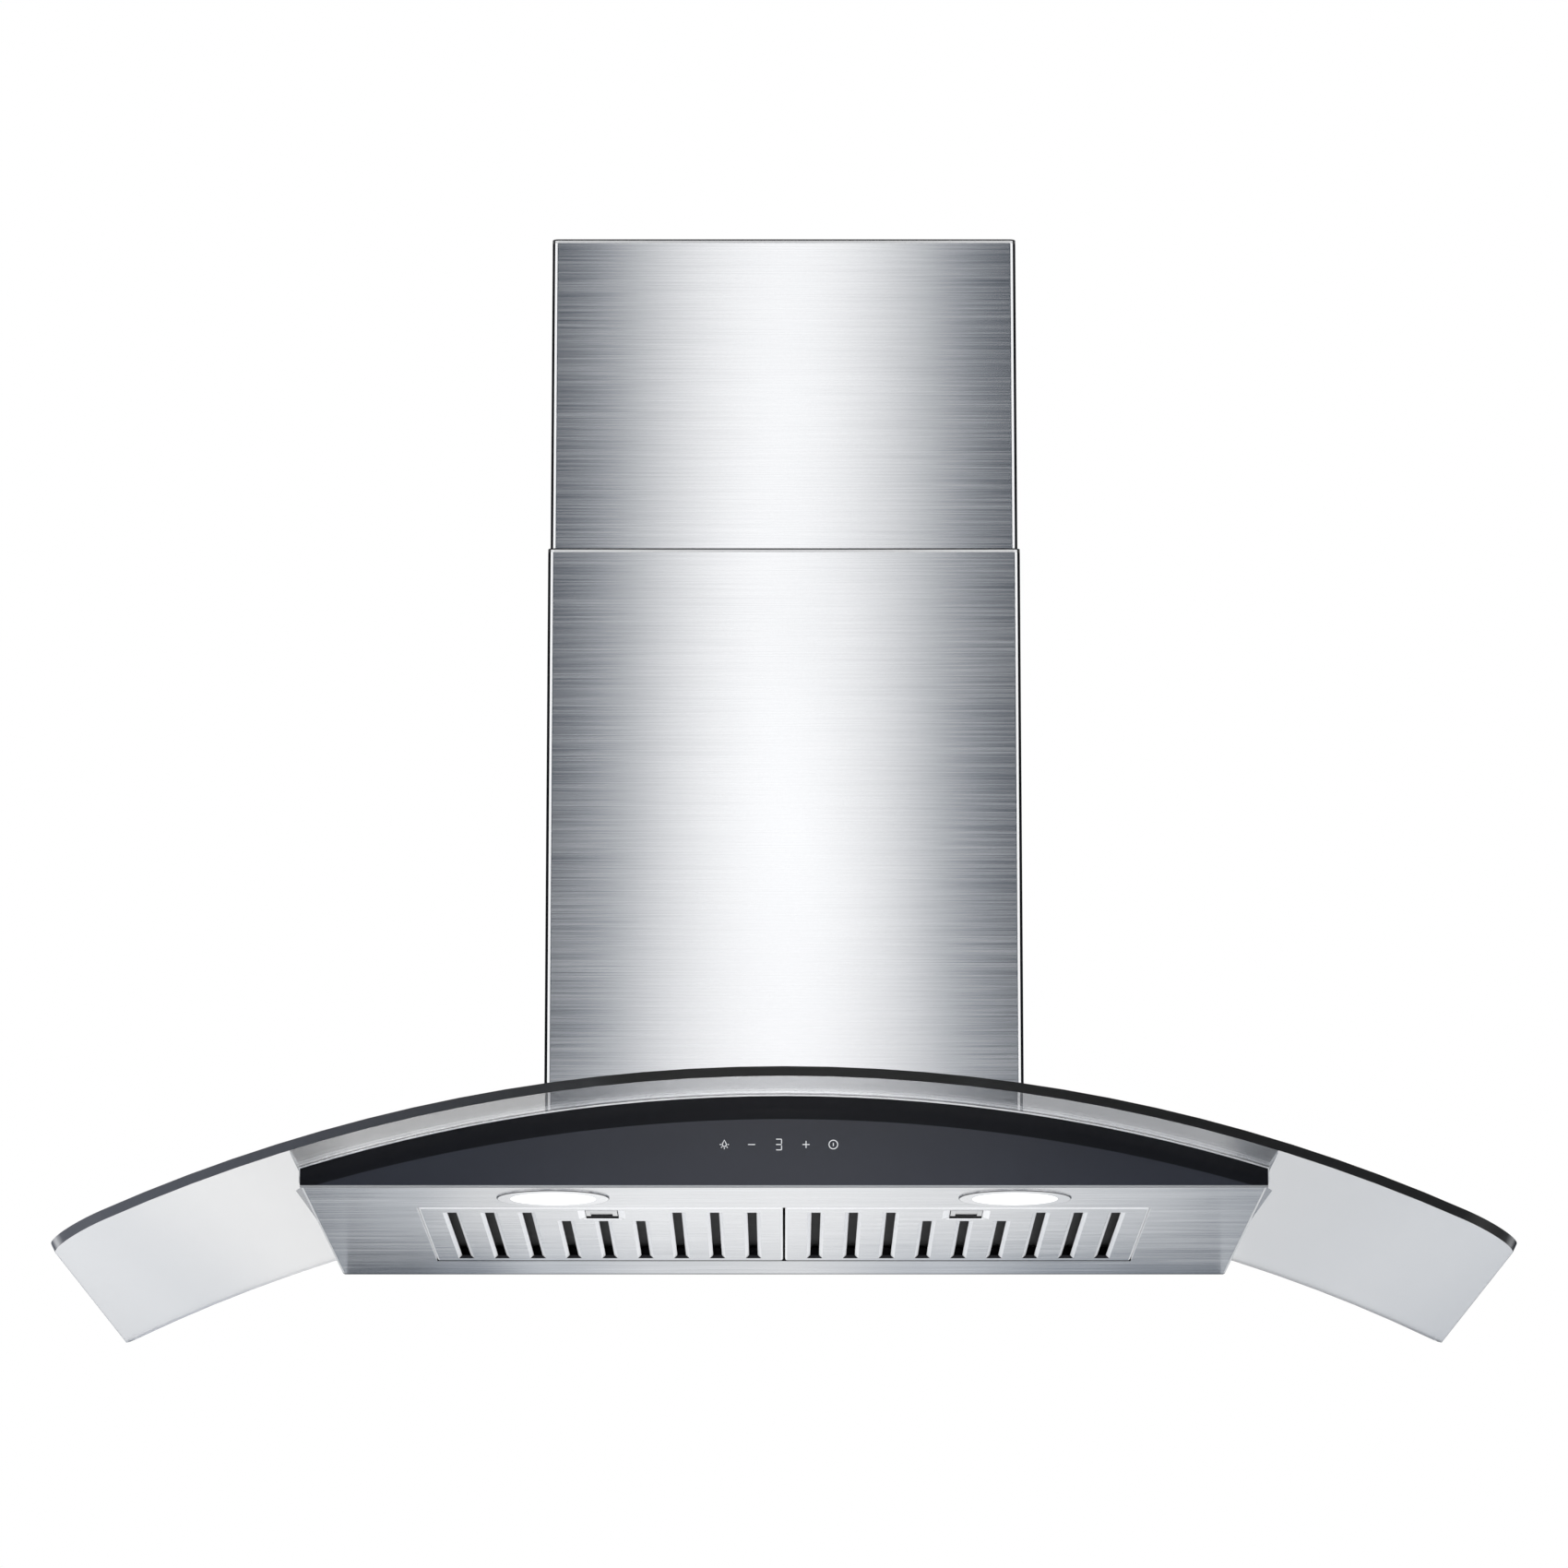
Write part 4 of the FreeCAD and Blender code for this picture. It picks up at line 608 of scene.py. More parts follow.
# Edge colours are painted light and shade, and the glows are painted light.
LIT_EDGE = (0.08, 0.083, 0.092)
UNLIT_EDGE = (0.012, 0.013, 0.016)
EDGE_GLOW = (0.075, 0.081, 0.1)
CORNER_GLOW = (0.5, 0.51, 0.53)


def painted_wing_tint(tree, across, smears):
    """Painted tint: clear over the body as painted light, and grey in the wings as painted shade, deepest
    where they start.
    """
    from_middle = maths(tree, "ABSOLUTE", across)
    near = blend(tree, smears, NEAR_BODY, NEAR_BODY_SMEARED)
    wing = blend(tree, stretch(tree, from_middle, *WING_SPAN), near, WING_TIP)
    return blend(tree, stretch(tree, from_middle, *BODY_END), CLEAR, wing)


def painted_edge_glow(tree, across, frontward, ground_edge, unlit):
    """Painted glow along the left edge, as light that the sheet would guide there, and a painted glint at
    its front corners.
    """
    guided = both(tree, stretch(tree, across, *GLOW_SPAN), ground_edge)
    glow = blend(tree, guided, BLACK, EDGE_GLOW)
    corner = stretch(tree, frontward, *CORNER_START)
    corner = both(tree, corner, stretch(tree, frontward, *CORNER_END, 1.0, 0.0))
    corner = both(tree, corner, ground_edge)
    corner = both(tree, corner, stretch(tree, unlit, 0.0, 1.0, 0.8, 0.3))
    return blend(tree, corner, glow, CORNER_GLOW)


def clear_glass():
    """Clear sheet with dull ground edges."""
    material, tree, shader = start_material(
        "canopy_glass", Transmission_Weight=1.0, IOR=1.4, Metallic=0.0, Emission_Strength=1.0)
    smears = use_group(tree, soft_smears, scale=4.0)["Mask"]
    place, facing = place_axes(tree), facing_axes(tree)
    ground_edge = is_below(tree, maths(tree, "ABSOLUTE", facing["Z"]), STANDING)
    arris = is_above(tree, place["Y"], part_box("glass_canopy")[1].y - ARRIS)
    dull = either(tree, ground_edge, arris)
    # Painted light and shade on the ground edge: slate on the left, near black on the right.
    unlit = stretch(tree, place["X"], *EDGE_FADE)
    edge_tone = blend(tree, unlit, LIT_EDGE, UNLIT_EDGE)
    smooth = stretch(tree, smears, 0.0, 1.0, 0.0, 0.012)
    rough_edge = both(tree, ground_edge, is_below(tree, facing["Y"], 0.5))
    # Painted tint: clearer over the body as painted light, deepest grey where the wings start as painted
    # shade.
    tint = painted_wing_tint(tree, place["X"], smears)
    drive(tree, shader, Base_Color=blend(tree, dull, tint, edge_tone),
          Roughness=blend_values(tree, rough_edge, smooth, 0.3),
          Emission_Color=painted_edge_glow(tree, place["X"], facing["Y"], ground_edge, unlit))
    return material


canopy_glass = clear_glass()
print("glass:", canopy_glass.name)

# %% [markdown]
# ## Black glass front
# The touch front is flat glass, painted black behind, so it is gloss over near-black.
# A darker, less glossy band of painted shade lies under its arched top, where the canopy overhangs, and
# its cut edges are ground to a grey.
# The band follows a circle of its own, so the material measures the distance from that circle's centre.

# %% Black glass
BAND_DEPTH = 14.6 * MM
BAND_RADIUS = 1.04
BAND_GLOSS = 0.22
BEVEL_HEIGHT = 1.0 * MM
FRONT_FACING = 0.9
PAINT = (0.015, 0.0175, 0.027)
PAINT_SMEARED = (0.018, 0.021, 0.031)
BAND_PAINTED_SHADE = (0.0065, 0.0072, 0.0095)
GROUND_GREY = (0.34, 0.35, 0.365)


def black_glass():
    """Glossy paint behind glass, with a darker band of painted shade under the arch, and ground edges."""
    material, tree, shader = start_material(
        "fascia_black", IOR=1.5, Specular_IOR_Level=0.0, Coat_IOR=1.5, Coat_Roughness=0.03)
    smears = use_group(tree, soft_smears, scale=9.0)["Mask"]
    place = place_axes(tree)
    crown = max(v.co.z for v in nodes["fascia_glass"].data.vertices)
    # Painted shade: a darker, less glossy band under the arch, where the canopy overhangs.
    rise = maths(tree, "SUBTRACT", place["Z"], crown - BAND_DEPTH - BAND_RADIUS)
    reach = vector_length(tree, flat_vector(tree, place["X"], rise))
    canopy_shade = is_above(tree, reach, BAND_RADIUS)
    front = maths(tree, "ABSOLUTE", facing_axes(tree)["Y"])
    bevel = is_below(tree, place["Z"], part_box("fascia_glass")[0].z + BEVEL_HEIGHT)
    ground_edge = either(tree, is_below(tree, front, FRONT_FACING), bevel)
    tone = blend(tree, smears, PAINT, PAINT_SMEARED)
    tone = blend(tree, canopy_shade, tone, BAND_PAINTED_SHADE)
    gloss = blend_values(tree, canopy_shade, 1.0, BAND_GLOSS)
    drive(tree, shader, Base_Color=blend(tree, ground_edge, tone, GROUND_GREY),
          Coat_Weight=blend_values(tree, ground_edge, gloss, 0.0),
          Roughness=stretch(tree, smears, 0.0, 1.0, 0.3, 0.45))
    return material


fascia_black = black_glass()
print("glass:", fascia_black.name)

# %% [markdown]
# ## Lamp lens
# Each lamp has a frosted lens that is evenly white while lit.
# A real lamp inside would need many samples to come through the frosting.
# So the lens itself glows, at a level that reads as white without lighting the room.

# %% Lamp lens
def lamp_lens():
    """Frosted white lens with a glow of its own."""
    material, tree, shader = start_material("lamp_lens", Emission_Strength=0.5, IOR=1.46)
    skin = use_group(tree, moulded_skin, scale=1500.0)
    drive(tree, shader,
          Base_Color=blend(tree, skin["Tone"], (0.86, 0.86, 0.84), (0.93, 0.93, 0.92)),
          Emission_Color=blend(tree, skin["Tone"], (0.95, 0.95, 0.93), (1.0, 1.0, 0.99)),
          Roughness=stretch(tree, skin["Tone"], 0.0, 1.0, 0.3, 0.4),
          Normal=bump(tree, skin["Height"], 0.03 * MM))
    return material


lens_white = lamp_lens()
print("lens:", lens_white.name)

# %% [markdown]
# ## Lamp rings and filter latches
# Each lamp sits in a satin ring, with a painted shade line where it meets the panel.
# Each filter has a finger tab of satin steel on a slide plate; the tab's rear end and the plate are near
# black as painted shade.
# These are parts of one solid, so the material picks them out by their place on it.

# %% Lamp ring
RIM_SHADE = 0.8 * MM
RING_UNDERSIDE = -0.5


def bezel_steel():
    """Satin ring, with painted shade round its outer edge where it meets the panel."""
    material, tree, shader = start_material("bezel_satin", Metallic=1.0)
    skin = use_group(tree, zinc_spangle, scale=900.0)["Tone"]
    low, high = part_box("lamp_bezel_right")
    place = place_axes(tree)
    aside = maths(tree, "ABSOLUTE", place["X"])
    aside = maths(tree, "SUBTRACT", aside, (low.x + high.x) / 2)
    along = maths(tree, "SUBTRACT", place["Y"], (low.y + high.y) / 2)
    reach = vector_length(tree, flat_vector(tree, aside, along))
    # Painted shade: a dark line round the ring's outer edge, on its underside.
    rim = is_above(tree, reach, (high.x - low.x) / 2 - RIM_SHADE)
    rim = both(tree, rim, is_below(tree, facing_axes(tree)["Z"], RING_UNDERSIDE))
    satin = blend(tree, skin, (0.66, 0.665, 0.68), (0.78, 0.785, 0.8))
    drive(tree, shader, Base_Color=blend(tree, rim, satin, (0.12, 0.12, 0.125)),
          Roughness=stretch(tree, skin, 0.0, 1.0, 0.16, 0.22))
    return material


bezel_satin = bezel_steel()
print("lamp ring:", bezel_satin.name)

# %% Filter latch
TAB_DEPTH = 1.3 * MM
PLATE_RIM = 3.0 * MM
SLIT_SHADE_LENGTH = 3.5 * MM


def latch_steel():
    """Satin finger tab whose rear end, and the slide plate above it, are near black as painted shade."""
    material, tree, shader = start_material("latch_satin")
    skin = use_group(tree, zinc_spangle, scale=600.0)["Tone"]
    place = place_axes(tree)
    tab_face = min(v.co.z for v in nodes["filter_latch_left"].data.vertices)
    latch_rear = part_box("filter_latch_left")[1].y
    # Painted shade: the slide plate and the rear end of the tab are near black.
    plate = is_above(tree, place["Z"], tab_face + TAB_DEPTH)
    painted_slit_shade = is_above(tree, place["Y"], latch_rear - PLATE_RIM - SLIT_SHADE_LENGTH)
    hidden = either(tree, plate, painted_slit_shade)
    satin = blend(tree, skin, (0.6, 0.6, 0.6), (0.7, 0.7, 0.7))
    drive(tree, shader, Base_Color=blend(tree, hidden, satin, (0.008, 0.008, 0.008)),
          Metallic=blend_values(tree, hidden, 1.0, 0.0),
          Roughness=blend_values(tree, hidden, 0.3, 0.8))
    return material


latch_satin = latch_steel()
print("latch:", latch_satin.name)

# %% [markdown]
# ## Filter baffles
# Behind each slot lies the filter's inner baffle, where grease drips off.
# Its underside is painted near black as shade, so the slots read almost black, while its upper face keeps
# the steel's own colour for when the filter hangs open.
# One material gives both, by asking whether the surface faces up.

# %% Filter baffle
FACING_UP = 0.2


def baffle_sheet():
    """Steel baffle with its own colour on top. Its underside, behind the slots, is painted near black as
    shade.
    """
    material, tree, shader = start_material("baffle_sheet", Specular_IOR_Level=0.1)
    grain = use_group(tree, brushed_grain, grain_length=0.05, grain_pitch=2.0 * MM)["Tone"]
    # Painted shade: the underside is near black and dull, and the top keeps the steel's colour.
    top = is_above(tree, facing_axes(tree)["Z"], FACING_UP)
    shade = blend(tree, grain, (0.05, 0.05, 0.051), (0.068, 0.068, 0.069))
    bare_steel = blend(tree, grain, (0.5, 0.51, 0.54), (0.72, 0.73, 0.76))
    drive(tree, shader, Base_Color=blend(tree, top, shade, bare_steel),
          Metallic=blend_values(tree, top, 0.0, 1.0), Roughness=blend_values(tree, top, 0.7, 0.32))
    return material


baffle = baffle_sheet()
print("baffle:", baffle.name)

# %% [markdown]
# ## Sheet, plastic and the rest inside
# Behind the steel covers is plain engineering: zinc coated sheet, moulded plastic, rubber and boards.
# They show from behind, from above and with the filters open, so each has the grain of its own making.
# One recipe covers them all, with a moulded skin for plastics and rubber and a spangled one for metals.

# %% Plastics and plain metals
PLASTIC_EDGE = 0.4 * MM
METAL_EDGE = 0.3 * MM


def skinned(name, group, edge_radius, dark, light, roughness, scale, depth, **constants):
    """Material whose colour, roughness and bump come from one skin group."""
    material, tree, shader = start_material(name, **constants)
    skin = use_group(tree, group, scale=scale)
    edge = use_group(tree, soft_edge, radius=edge_radius)["Normal"]
    drive(tree, shader, Base_Color=blend(tree, skin["Tone"], dark, light),
          Roughness=stretch(tree, skin["Tone"], 0.0, 1.0, *roughness),
          Normal=bump(tree, skin["Height"], depth * MM, edge))
    return material


def moulded(name, *recipe):
    """Moulded plastic or rubber."""
    return skinned(name, moulded_skin, PLASTIC_EDGE, *recipe)


def plain_metal(name, *recipe):
    """Metal with a zinc coated, cast or plated skin."""
    return skinned(name, zinc_spangle, METAL_EDGE, *recipe, Metallic=1.0)


print("recipes ready for plastics and metals")

# %% [markdown]
# ## Circuit boards
# The boards are green solder mask over copper tracks.
# Drawing real tracks would be lost at this size, so a fine brick pattern stands for their net.

# %% Circuit board
def circuit_board():
    """Green solder mask with a net of tracks just under it."""
    material, tree, shader = start_material("board_green", Coat_Weight=0.3)
    tracks = add_node(tree, "ShaderNodeTexBrick")
    drive(tree, tracks, Vector=surface_place(tree), Scale=160.0, Mortar_Size=0.03,
          Color1=(0.012, 0.085, 0.035), Color2=(0.016, 0.1, 0.042), Mortar=(0.05, 0.2, 0.08))
    drive(tree, shader, Base_Color=tracks.outputs["Color"],
          Roughness=stretch(tree, tracks.outputs["Fac"], 0.0, 1.0, 0.45, 0.3))
    return material


board_green = circuit_board()
print("board:", board_green.name)

# %% [markdown]
# ## Giving every solid its finish
# The record names a material slot for each solid, in the words of the person who built it.
# A table from slot to finish keeps the two in step, and a missing slot stops the lesson at once.
# A second table names the few solids that look different from the rest of their slot.
# The solids themselves are never moved or reshaped: only their material slots change.

# %% Recipes for the metals and plastics
# Each row: name, dark and light tone, range of roughness, scale of the grain and its depth in mm.
METALS = {
    "heat_sink": ("cast_alloy", (0.42, 0.42, 0.43), (0.56, 0.56, 0.57), (0.4, 0.6), 700.0, 0.05),
    "galvanised": ("zinc_sheet", (0.47, 0.49, 0.5), (0.68, 0.7, 0.71), (0.3, 0.5), 95.0, 0.01),
    "motor_steel": ("motor_shell", (0.2, 0.2, 0.21), (0.3, 0.3, 0.31), (0.32, 0.45), 300.0, 0.01),
    "shaft_steel": ("ground_steel", (0.6, 0.6, 0.6), (0.7, 0.7, 0.7), (0.15, 0.25), 1200.0, 0.002),
    "screw_steel": ("plated_screw", (0.5, 0.5, 0.49), (0.62, 0.62, 0.6), (0.25, 0.38), 800.0, 0.006),
}
PLASTICS = {
    "blower_plastic": (
        "blower_black", (0.022, 0.022, 0.024), (0.034, 0.034, 0.036), (0.42, 0.55), 900.0, 0.03),
    "outlet_plastic": (
        "outlet_grey", (0.045, 0.046, 0.048), (0.062, 0.063, 0.066), (0.4, 0.52), 900.0, 0.03),
    "display_plastic": (
        "display_black", (0.01, 0.01, 0.012), (0.018, 0.018, 0.02), (0.2, 0.3), 1500.0, 0.01),
    "control_plastic": ("box_white", (0.6, 0.6, 0.58), (0.7, 0.7, 0.68), (0.42, 0.5), 1000.0, 0.03),
    "capacitor_case": ("capacitor_white", (0.7, 0.7, 0.68), (0.8, 0.8, 0.78), (0.3, 0.4), 1400.0, 0.02),
    "rubber": ("seal_rubber", (0.012, 0.012, 0.012), (0.022, 0.022, 0.022), (0.6, 0.75), 1200.0, 0.05),
}
print("metals:", len(METALS), "plastics:", len(PLASTICS))

# %% Finish for each slot
finishes = {
    "brushed_steel": body_steel,
    "filter_steel": filter_steel,
    "latch_steel": latch_satin,
    "clear_glass": canopy_glass,
    "black_glass": fascia_black,
    "lamp_steel": bezel_satin,
    "lamp_lens": lens_white,
    "circuit_board": board_green,
}
finishes.update({slot: plain_metal(*row) for slot, row in METALS.items()})
finishes.update({slot: moulded(*row) for slot, row in PLASTICS.items()})
own_finish = {
    "upper_chimney": upper_steel,
    "lower_chimney": lower_steel,
    "top_deck": deck_steel,
    "filter_backing_left": baffle,
    "filter_backing_right": baffle,
}
slot_of = {row["node"]: row["material_slot"] for row in frame["record"]["subparts"]}
for name, solid in nodes.items():
    slot_finish = finishes[slot_of[name]]
    solid.data.materials.clear()
    solid.data.materials.append(own_finish.get(name, slot_finish))
print("finished solids:", len(nodes), "materials:", len(bpy.data.materials))

# %% [markdown]
# ## Signs on the touch panel
# Five small signs glow through the black glass: a lamp, a minus, a number, a plus and a power ring.
# They could be painted in a texture, but thin ribbons of geometry stay crisp at any distance.
# Each ribbon is a line of points with a width, laid on the front of the glass.

# %% Sign strokes
SIGN_LIFT = 0.06 * MM
SIGN_STROKE = 0.55 * MM
sign_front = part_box("fascia_glass")[0].y


def ribbon(mesh, points, closed=False):
    """Flat stroke through points on the glass, with a side wall back to the glass."""
    count = len(points)
    rails = []
    for i, point in enumerate(points):
        before = points[i - 1] if closed or i > 0 else point
        after = points[(i + 1) % count] if closed or i < count - 1 else point
        run = (Vector(after) - Vector(before)).normalized()
        side = Vector((-run.y, run.x)) * SIGN_STROKE / 2
        pair = []
        for offset in (side, -side):
            x, z = Vector(point) + offset
            pair.append([mesh.verts.new((x, sign_front - depth, z)) for depth in (SIGN_LIFT, 0.0)])
        rails.append(pair)
    following = rails[1:] + rails[:1] if closed else rails[1:]
    for here, there in zip(rails, following):
        mesh.faces.new((here[0][0], there[0][0], there[1][0], here[1][0]))
        mesh.faces.new((here[0][1], there[0][1], there[0][0], here[0][0]))
        mesh.faces.new((here[1][0], there[1][0], there[1][1], here[1][1]))
        mesh.faces.new((here[1][1], there[1][1], there[0][1], here[0][1]))
    if not closed:
        for cap in (rails[0], rails[-1]):
            mesh.faces.new((cap[0][0], cap[0][1], cap[1][1], cap[1][0]))


def arc(centre, radius, start, end, steps):
    """Points on an arc, angles in degrees from +X towards +Z."""
    made = []
    for i in range(steps + 1):
        angle = math.radians(start + (end - start) * i / steps)
        made.append((centre[0] + radius * math.cos(angle), centre[1] + radius * math.sin(angle)))
    return made


print("signs lie at y, mm:", round(sign_front / MM, 2))

# %% Sign glow
def sign_glow():
    """Light that comes through the printed glass, a little uneven."""
    material, tree, shader = start_material("sign_glow", Emission_Strength=0.75, Roughness=0.3)
    flicker = stretch(tree, noise(tree, surface_place(tree), 700.0, 2.0), 0.3, 0.7)
    drive(tree, shader,
          Base_Color=blend(tree, flicker, (0.1, 0.1, 0.11), (0.14, 0.14, 0.15)),
          Emission_Color=blend(tree, flicker, (0.78, 0.8, 0.83), (0.9, 0.91, 0.93)))
    return material


glow = sign_glow()
print("glow:", glow.name)

# %% Placing a sign
underside_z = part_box("body_panel")[0].z
SIGN_Z = underside_z + 24.9 * MM
SIGN_PITCH = 16.9 * MM
SIGN_MIDDLE_X = -3.2 * MM


def sign_x(step):
    """Middle of a sign, counted in steps from the number."""
    return SIGN_MIDDLE_X + step * SIGN_PITCH


def add_object(name, data):
    """New object in the scene."""
    made = bpy.data.objects.new(name, data)
    scene.collection.objects.link(made)
    return made


def finish_sign(name, mesh):
    """Turn a drawn sign into a piece that rides on the hood."""
    bmesh.ops.recalc_face_normals(mesh, faces=mesh.faces)
    data = bpy.data.meshes.new(name)
    mesh.to_mesh(data)
    mesh.free()
    piece = add_object(name, data)
    data.materials.append(glow)
    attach(piece, "hood")
    return piece


print("sign height, mm:", round((SIGN_Z - underside_z) / MM, 1))

# %% The five signs
def lamp_sign():
    """Drop-shaped lamp with five rays round its lower half."""
    mesh = bmesh.new()
    x, z = sign_x(-2), SIGN_Z
    bulb, tip = 1.25 * MM, 2.8 * MM
    near, far = 1.95 * MM, 2.85 * MM
    ribbon(mesh, arc((x, z), bulb, -205, 25, 12) + [(x, z + tip)], closed=True)
    for angle in (0, -45, -90, -135, -180):
        turn = math.radians(angle)
        ribbon(mesh, [(x + r * math.cos(turn), z + r * math.sin(turn)) for r in (near, far)])
    return finish_sign("lamp_sign", mesh)


def bar_sign(name, step, with_upright):
    """Minus, or plus where it has an upright."""
    mesh = bmesh.new()
    x, half = sign_x(step), 2.2 * MM
    ribbon(mesh, [(x - half, SIGN_Z), (x + half, SIGN_Z)])
    if with_upright:
        ribbon(mesh, [(x, SIGN_Z - half), (x, SIGN_Z - SIGN_STROKE / 2)])
        ribbon(mesh, [(x, SIGN_Z + SIGN_STROKE / 2), (x, SIGN_Z + half)])
    return finish_sign(name, mesh)


def number_sign():
    """Digit of the fan's speed, drawn as a display draws a three."""
    mesh = bmesh.new()
    x = sign_x(0)
    half, tall, bend = 1.7 * MM, 3.35 * MM, 0.5 * MM
    for way in (1, -1):
        end = SIGN_Z + way * tall
        corner = arc((x + half - bend, end - way * bend), bend, 90 * way, 0, 4)
        ribbon(mesh, [(x - half, end)] + corner + [(x + half, SIGN_Z + way * SIGN_STROKE)])
    ribbon(mesh, [(x - half, SIGN_Z), (x + half, SIGN_Z)])
    return finish_sign("number_sign", mesh)


def power_sign():
    """Ring with a short bar in it."""
    mesh = bmesh.new()
    x, ring, bar = sign_x(2), 2.7 * MM, 1.0 * MM
    ribbon(mesh, arc((x, SIGN_Z), ring, 0, 345, 23), closed=True)
    ribbon(mesh, [(x, SIGN_Z - bar), (x, SIGN_Z + bar)])
    return finish_sign("power_sign", mesh)


signs = [lamp_sign(), bar_sign("minus_sign", -1, False), number_sign(),
         bar_sign("plus_sign", 1, True), power_sign()]
print("signs:", [s.name for s in signs])

# %% [markdown]
# ## Floor and white surroundings
# A catalogue picture stands on white. The world is white to the camera, to reflections and through glass.
# For everything else it is a softer light, so that colours render about as they are written.
# A pale floor lies well below the hood, fades out with distance and can be seen from above only.

# %% World
SOFT_LIGHT = (0.96, 0.98, 1.0)
SOFT_STRENGTH = 0.75
WHITE = (1.0, 1.0, 1.0)


def mix_shaders(tree, mask, first, second, output):
    """Show the first shader where the mask is 0 and the second where it is 1."""
    mix = add_node(tree, "ShaderNodeMixShader")
    for socket, source in zip(mix.inputs, (mask, first.outputs[0], second.outputs[0])):
        tree.links.new(source, socket)
    drive(tree, tree.nodes[output], Surface=mix.outputs[0])


def white_world():
    """World that looks white and gives a softer light."""
    world = bpy.data.worlds.new("studio")
    world.use_nodes = True
    scene.world = world
    tree = world.node_tree
    soft = tree.nodes["Background"]
    drive(tree, soft, Color=SOFT_LIGHT, Strength=SOFT_STRENGTH)
    white = add_node(tree, "ShaderNodeBackground")
    drive(tree, white, Color=WHITE)
    path = add_node(tree, "ShaderNodeLightPath")
    seen = either(tree, path.outputs["Is Camera Ray"], path.outputs["Is Glossy Ray"])
    seen = either(tree, seen, path.outputs["Is Transmission Ray"])
    mix_shaders(tree, seen, soft, white, "World Output")


white_world()
print("world:", scene.world.name)

# %% Floor
FLOOR_DROP = 0.75
FLOOR_RADIUS = 5.0
FADE_START = 0.25 * FLOOR_RADIUS
FADE_END = 0.8 * FLOOR_RADIUS
FLOOR_PALE = (0.9, 0.9, 0.9)


def fading_floor():
    """Pale material that fades out towards the floor's rim and hides from below."""
    material, tree, shader = start_material("floor_pale", Roughness=0.9, Base_Color=FLOOR_PALE)
    fade = stretch(tree, vector_length(tree, surface_place(tree)), FADE_START, FADE_END)
    geometry = add_node(tree, "ShaderNodeNewGeometry")
    hidden = either(tree, fade, geometry.outputs["Backfacing"])
    clear = add_node(tree, "ShaderNodeBsdfTransparent")
    mix_shaders(tree, hidden, shader, clear, "Material Output")
    return material


def pale_floor():
    """Round floor well below the hood."""
    data = bpy.data.meshes.new("floor")
    disc = bmesh.new()
    bmesh.ops.create_circle(disc, cap_ends=True, segments=96, radius=FLOOR_RADIUS)
    disc.to_mesh(data)
    disc.free()
    data.materials.append(fading_floor())
    floor = add_object("floor", data)
    floor.location.z = underside_z - FLOOR_DROP
    return floor


floor = pale_floor()
print("floor height:", round(floor.location.z, 3))

# %% [markdown]
# ## Cards for the steel to reflect
# Brushed steel shows what stands around it, so a photographer sets up cards that only the metal sees.
# Each card here glows, brighter or darker across its width, and is hidden from the camera.
# Its darker greys have a tint, because steel in a room looks a little blue in its shade.

# %% Reflection card
COOL = (0.78, 0.87, 1.0)
BLUISH = (0.5, 0.75, 1.15)
SLATE = (0.7, 0.83, 1.02)


def tinted(level, tint):
    """Colour of a card. The darker it is, the more tint it has."""
    return tuple(level * (part + (1.0 - part) * min(level, 1.0)) for part in tint)


def card_light(name, width, stops, tint):
    """Glow that changes across a card. Stops are (metres from the middle, level)."""
    material = bpy.data.materials.new(name)
    material.use_nodes = True
    tree = material.node_tree
    tree.nodes.remove(tree.nodes["Principled BSDF"])
    ramp = add_node(tree, "ShaderNodeValToRGB")
    ramp.color_ramp.interpolation = "EASE"
    elements = ramp.color_ramp.elements
    while len(elements) < len(stops):
        elements.new(0.5)
    for element, (distance, level) in zip(elements, stops):
        element.position = (distance + width / 2) / width
        element.color = (*tinted(level, tint), 1.0)
    share = stretch(tree, place_axes(tree)["X"], -width / 2, width / 2)
    light = add_node(tree, "ShaderNodeEmission")
    tree.links.new(share, ramp.inputs[0])
    drive(tree, light, Color=ramp.outputs["Color"])
    drive(tree, tree.nodes["Material Output"], Surface=light.outputs[0])
    return material


def reflection_card(name, place, width, height, stops, tint=COOL, side=False, through_glass=False):
    """Upright card that only reflections see, or only what looks through glass."""
    data = bpy.data.meshes.new(name)
    x, z = width / 2, height / 2
    data.from_pydata([(-x, 0, -z), (x, 0, -z), (x, 0, z), (-x, 0, z)], [], [(0, 1, 2, 3)])
    data.materials.append(card_light(name, width, stops, tint))
    card = add_object(name, data)
    card.location = place
    card.visible_camera = False
    card.visible_diffuse = False
    card.visible_transmission = through_glass
    card.visible_glossy = not through_glass
    card.visible_shadow = False
    if side:
        card.rotation_euler.z = math.radians(90)
    return card


print("card tints:", COOL, BLUISH, SLATE)

# %% [markdown]
# ## Cards before the hood
# The tall card gives the chimney its bright middle and its grey sides.
# Two more carry on below it, for the black glass and the chimney's foot.

# %% Front cards
CARD_FRONT_Y = -1.6

front_card = reflection_card(
    "front_card", (0.0, CARD_FRONT_Y, 0.97), 1.24, 2.06,
    ((-0.62, 0.05), (-0.21, 0.02), (-0.165, 0.16), (-0.085, 1.1), (0.0, 1.48), (0.08, 1.1),
     (0.16, 0.16), (0.205, 0.02), (0.62, 0.05)), BLUISH)
low_card = reflection_card(
    "low_card", (0.0, CARD_FRONT_Y, -0.095), 1.4, 0.07,
    ((-0.7, 0.4), (-0.35, 0.45), (0.0, 0.95), (0.35, 0.45), (0.7, 0.4)))
base_card = reflection_card(
    "base_card", (0.0, CARD_FRONT_Y, -0.365), 1.4, 0.47,
    ((-0.7, 0.4), (-0.25, 0.4), (-0.18, 0.55), (-0.1, 1.25), (0.0, 1.4), (0.1, 1.25), (0.18, 0.55),
     (0.25, 0.4), (0.7, 0.4)))
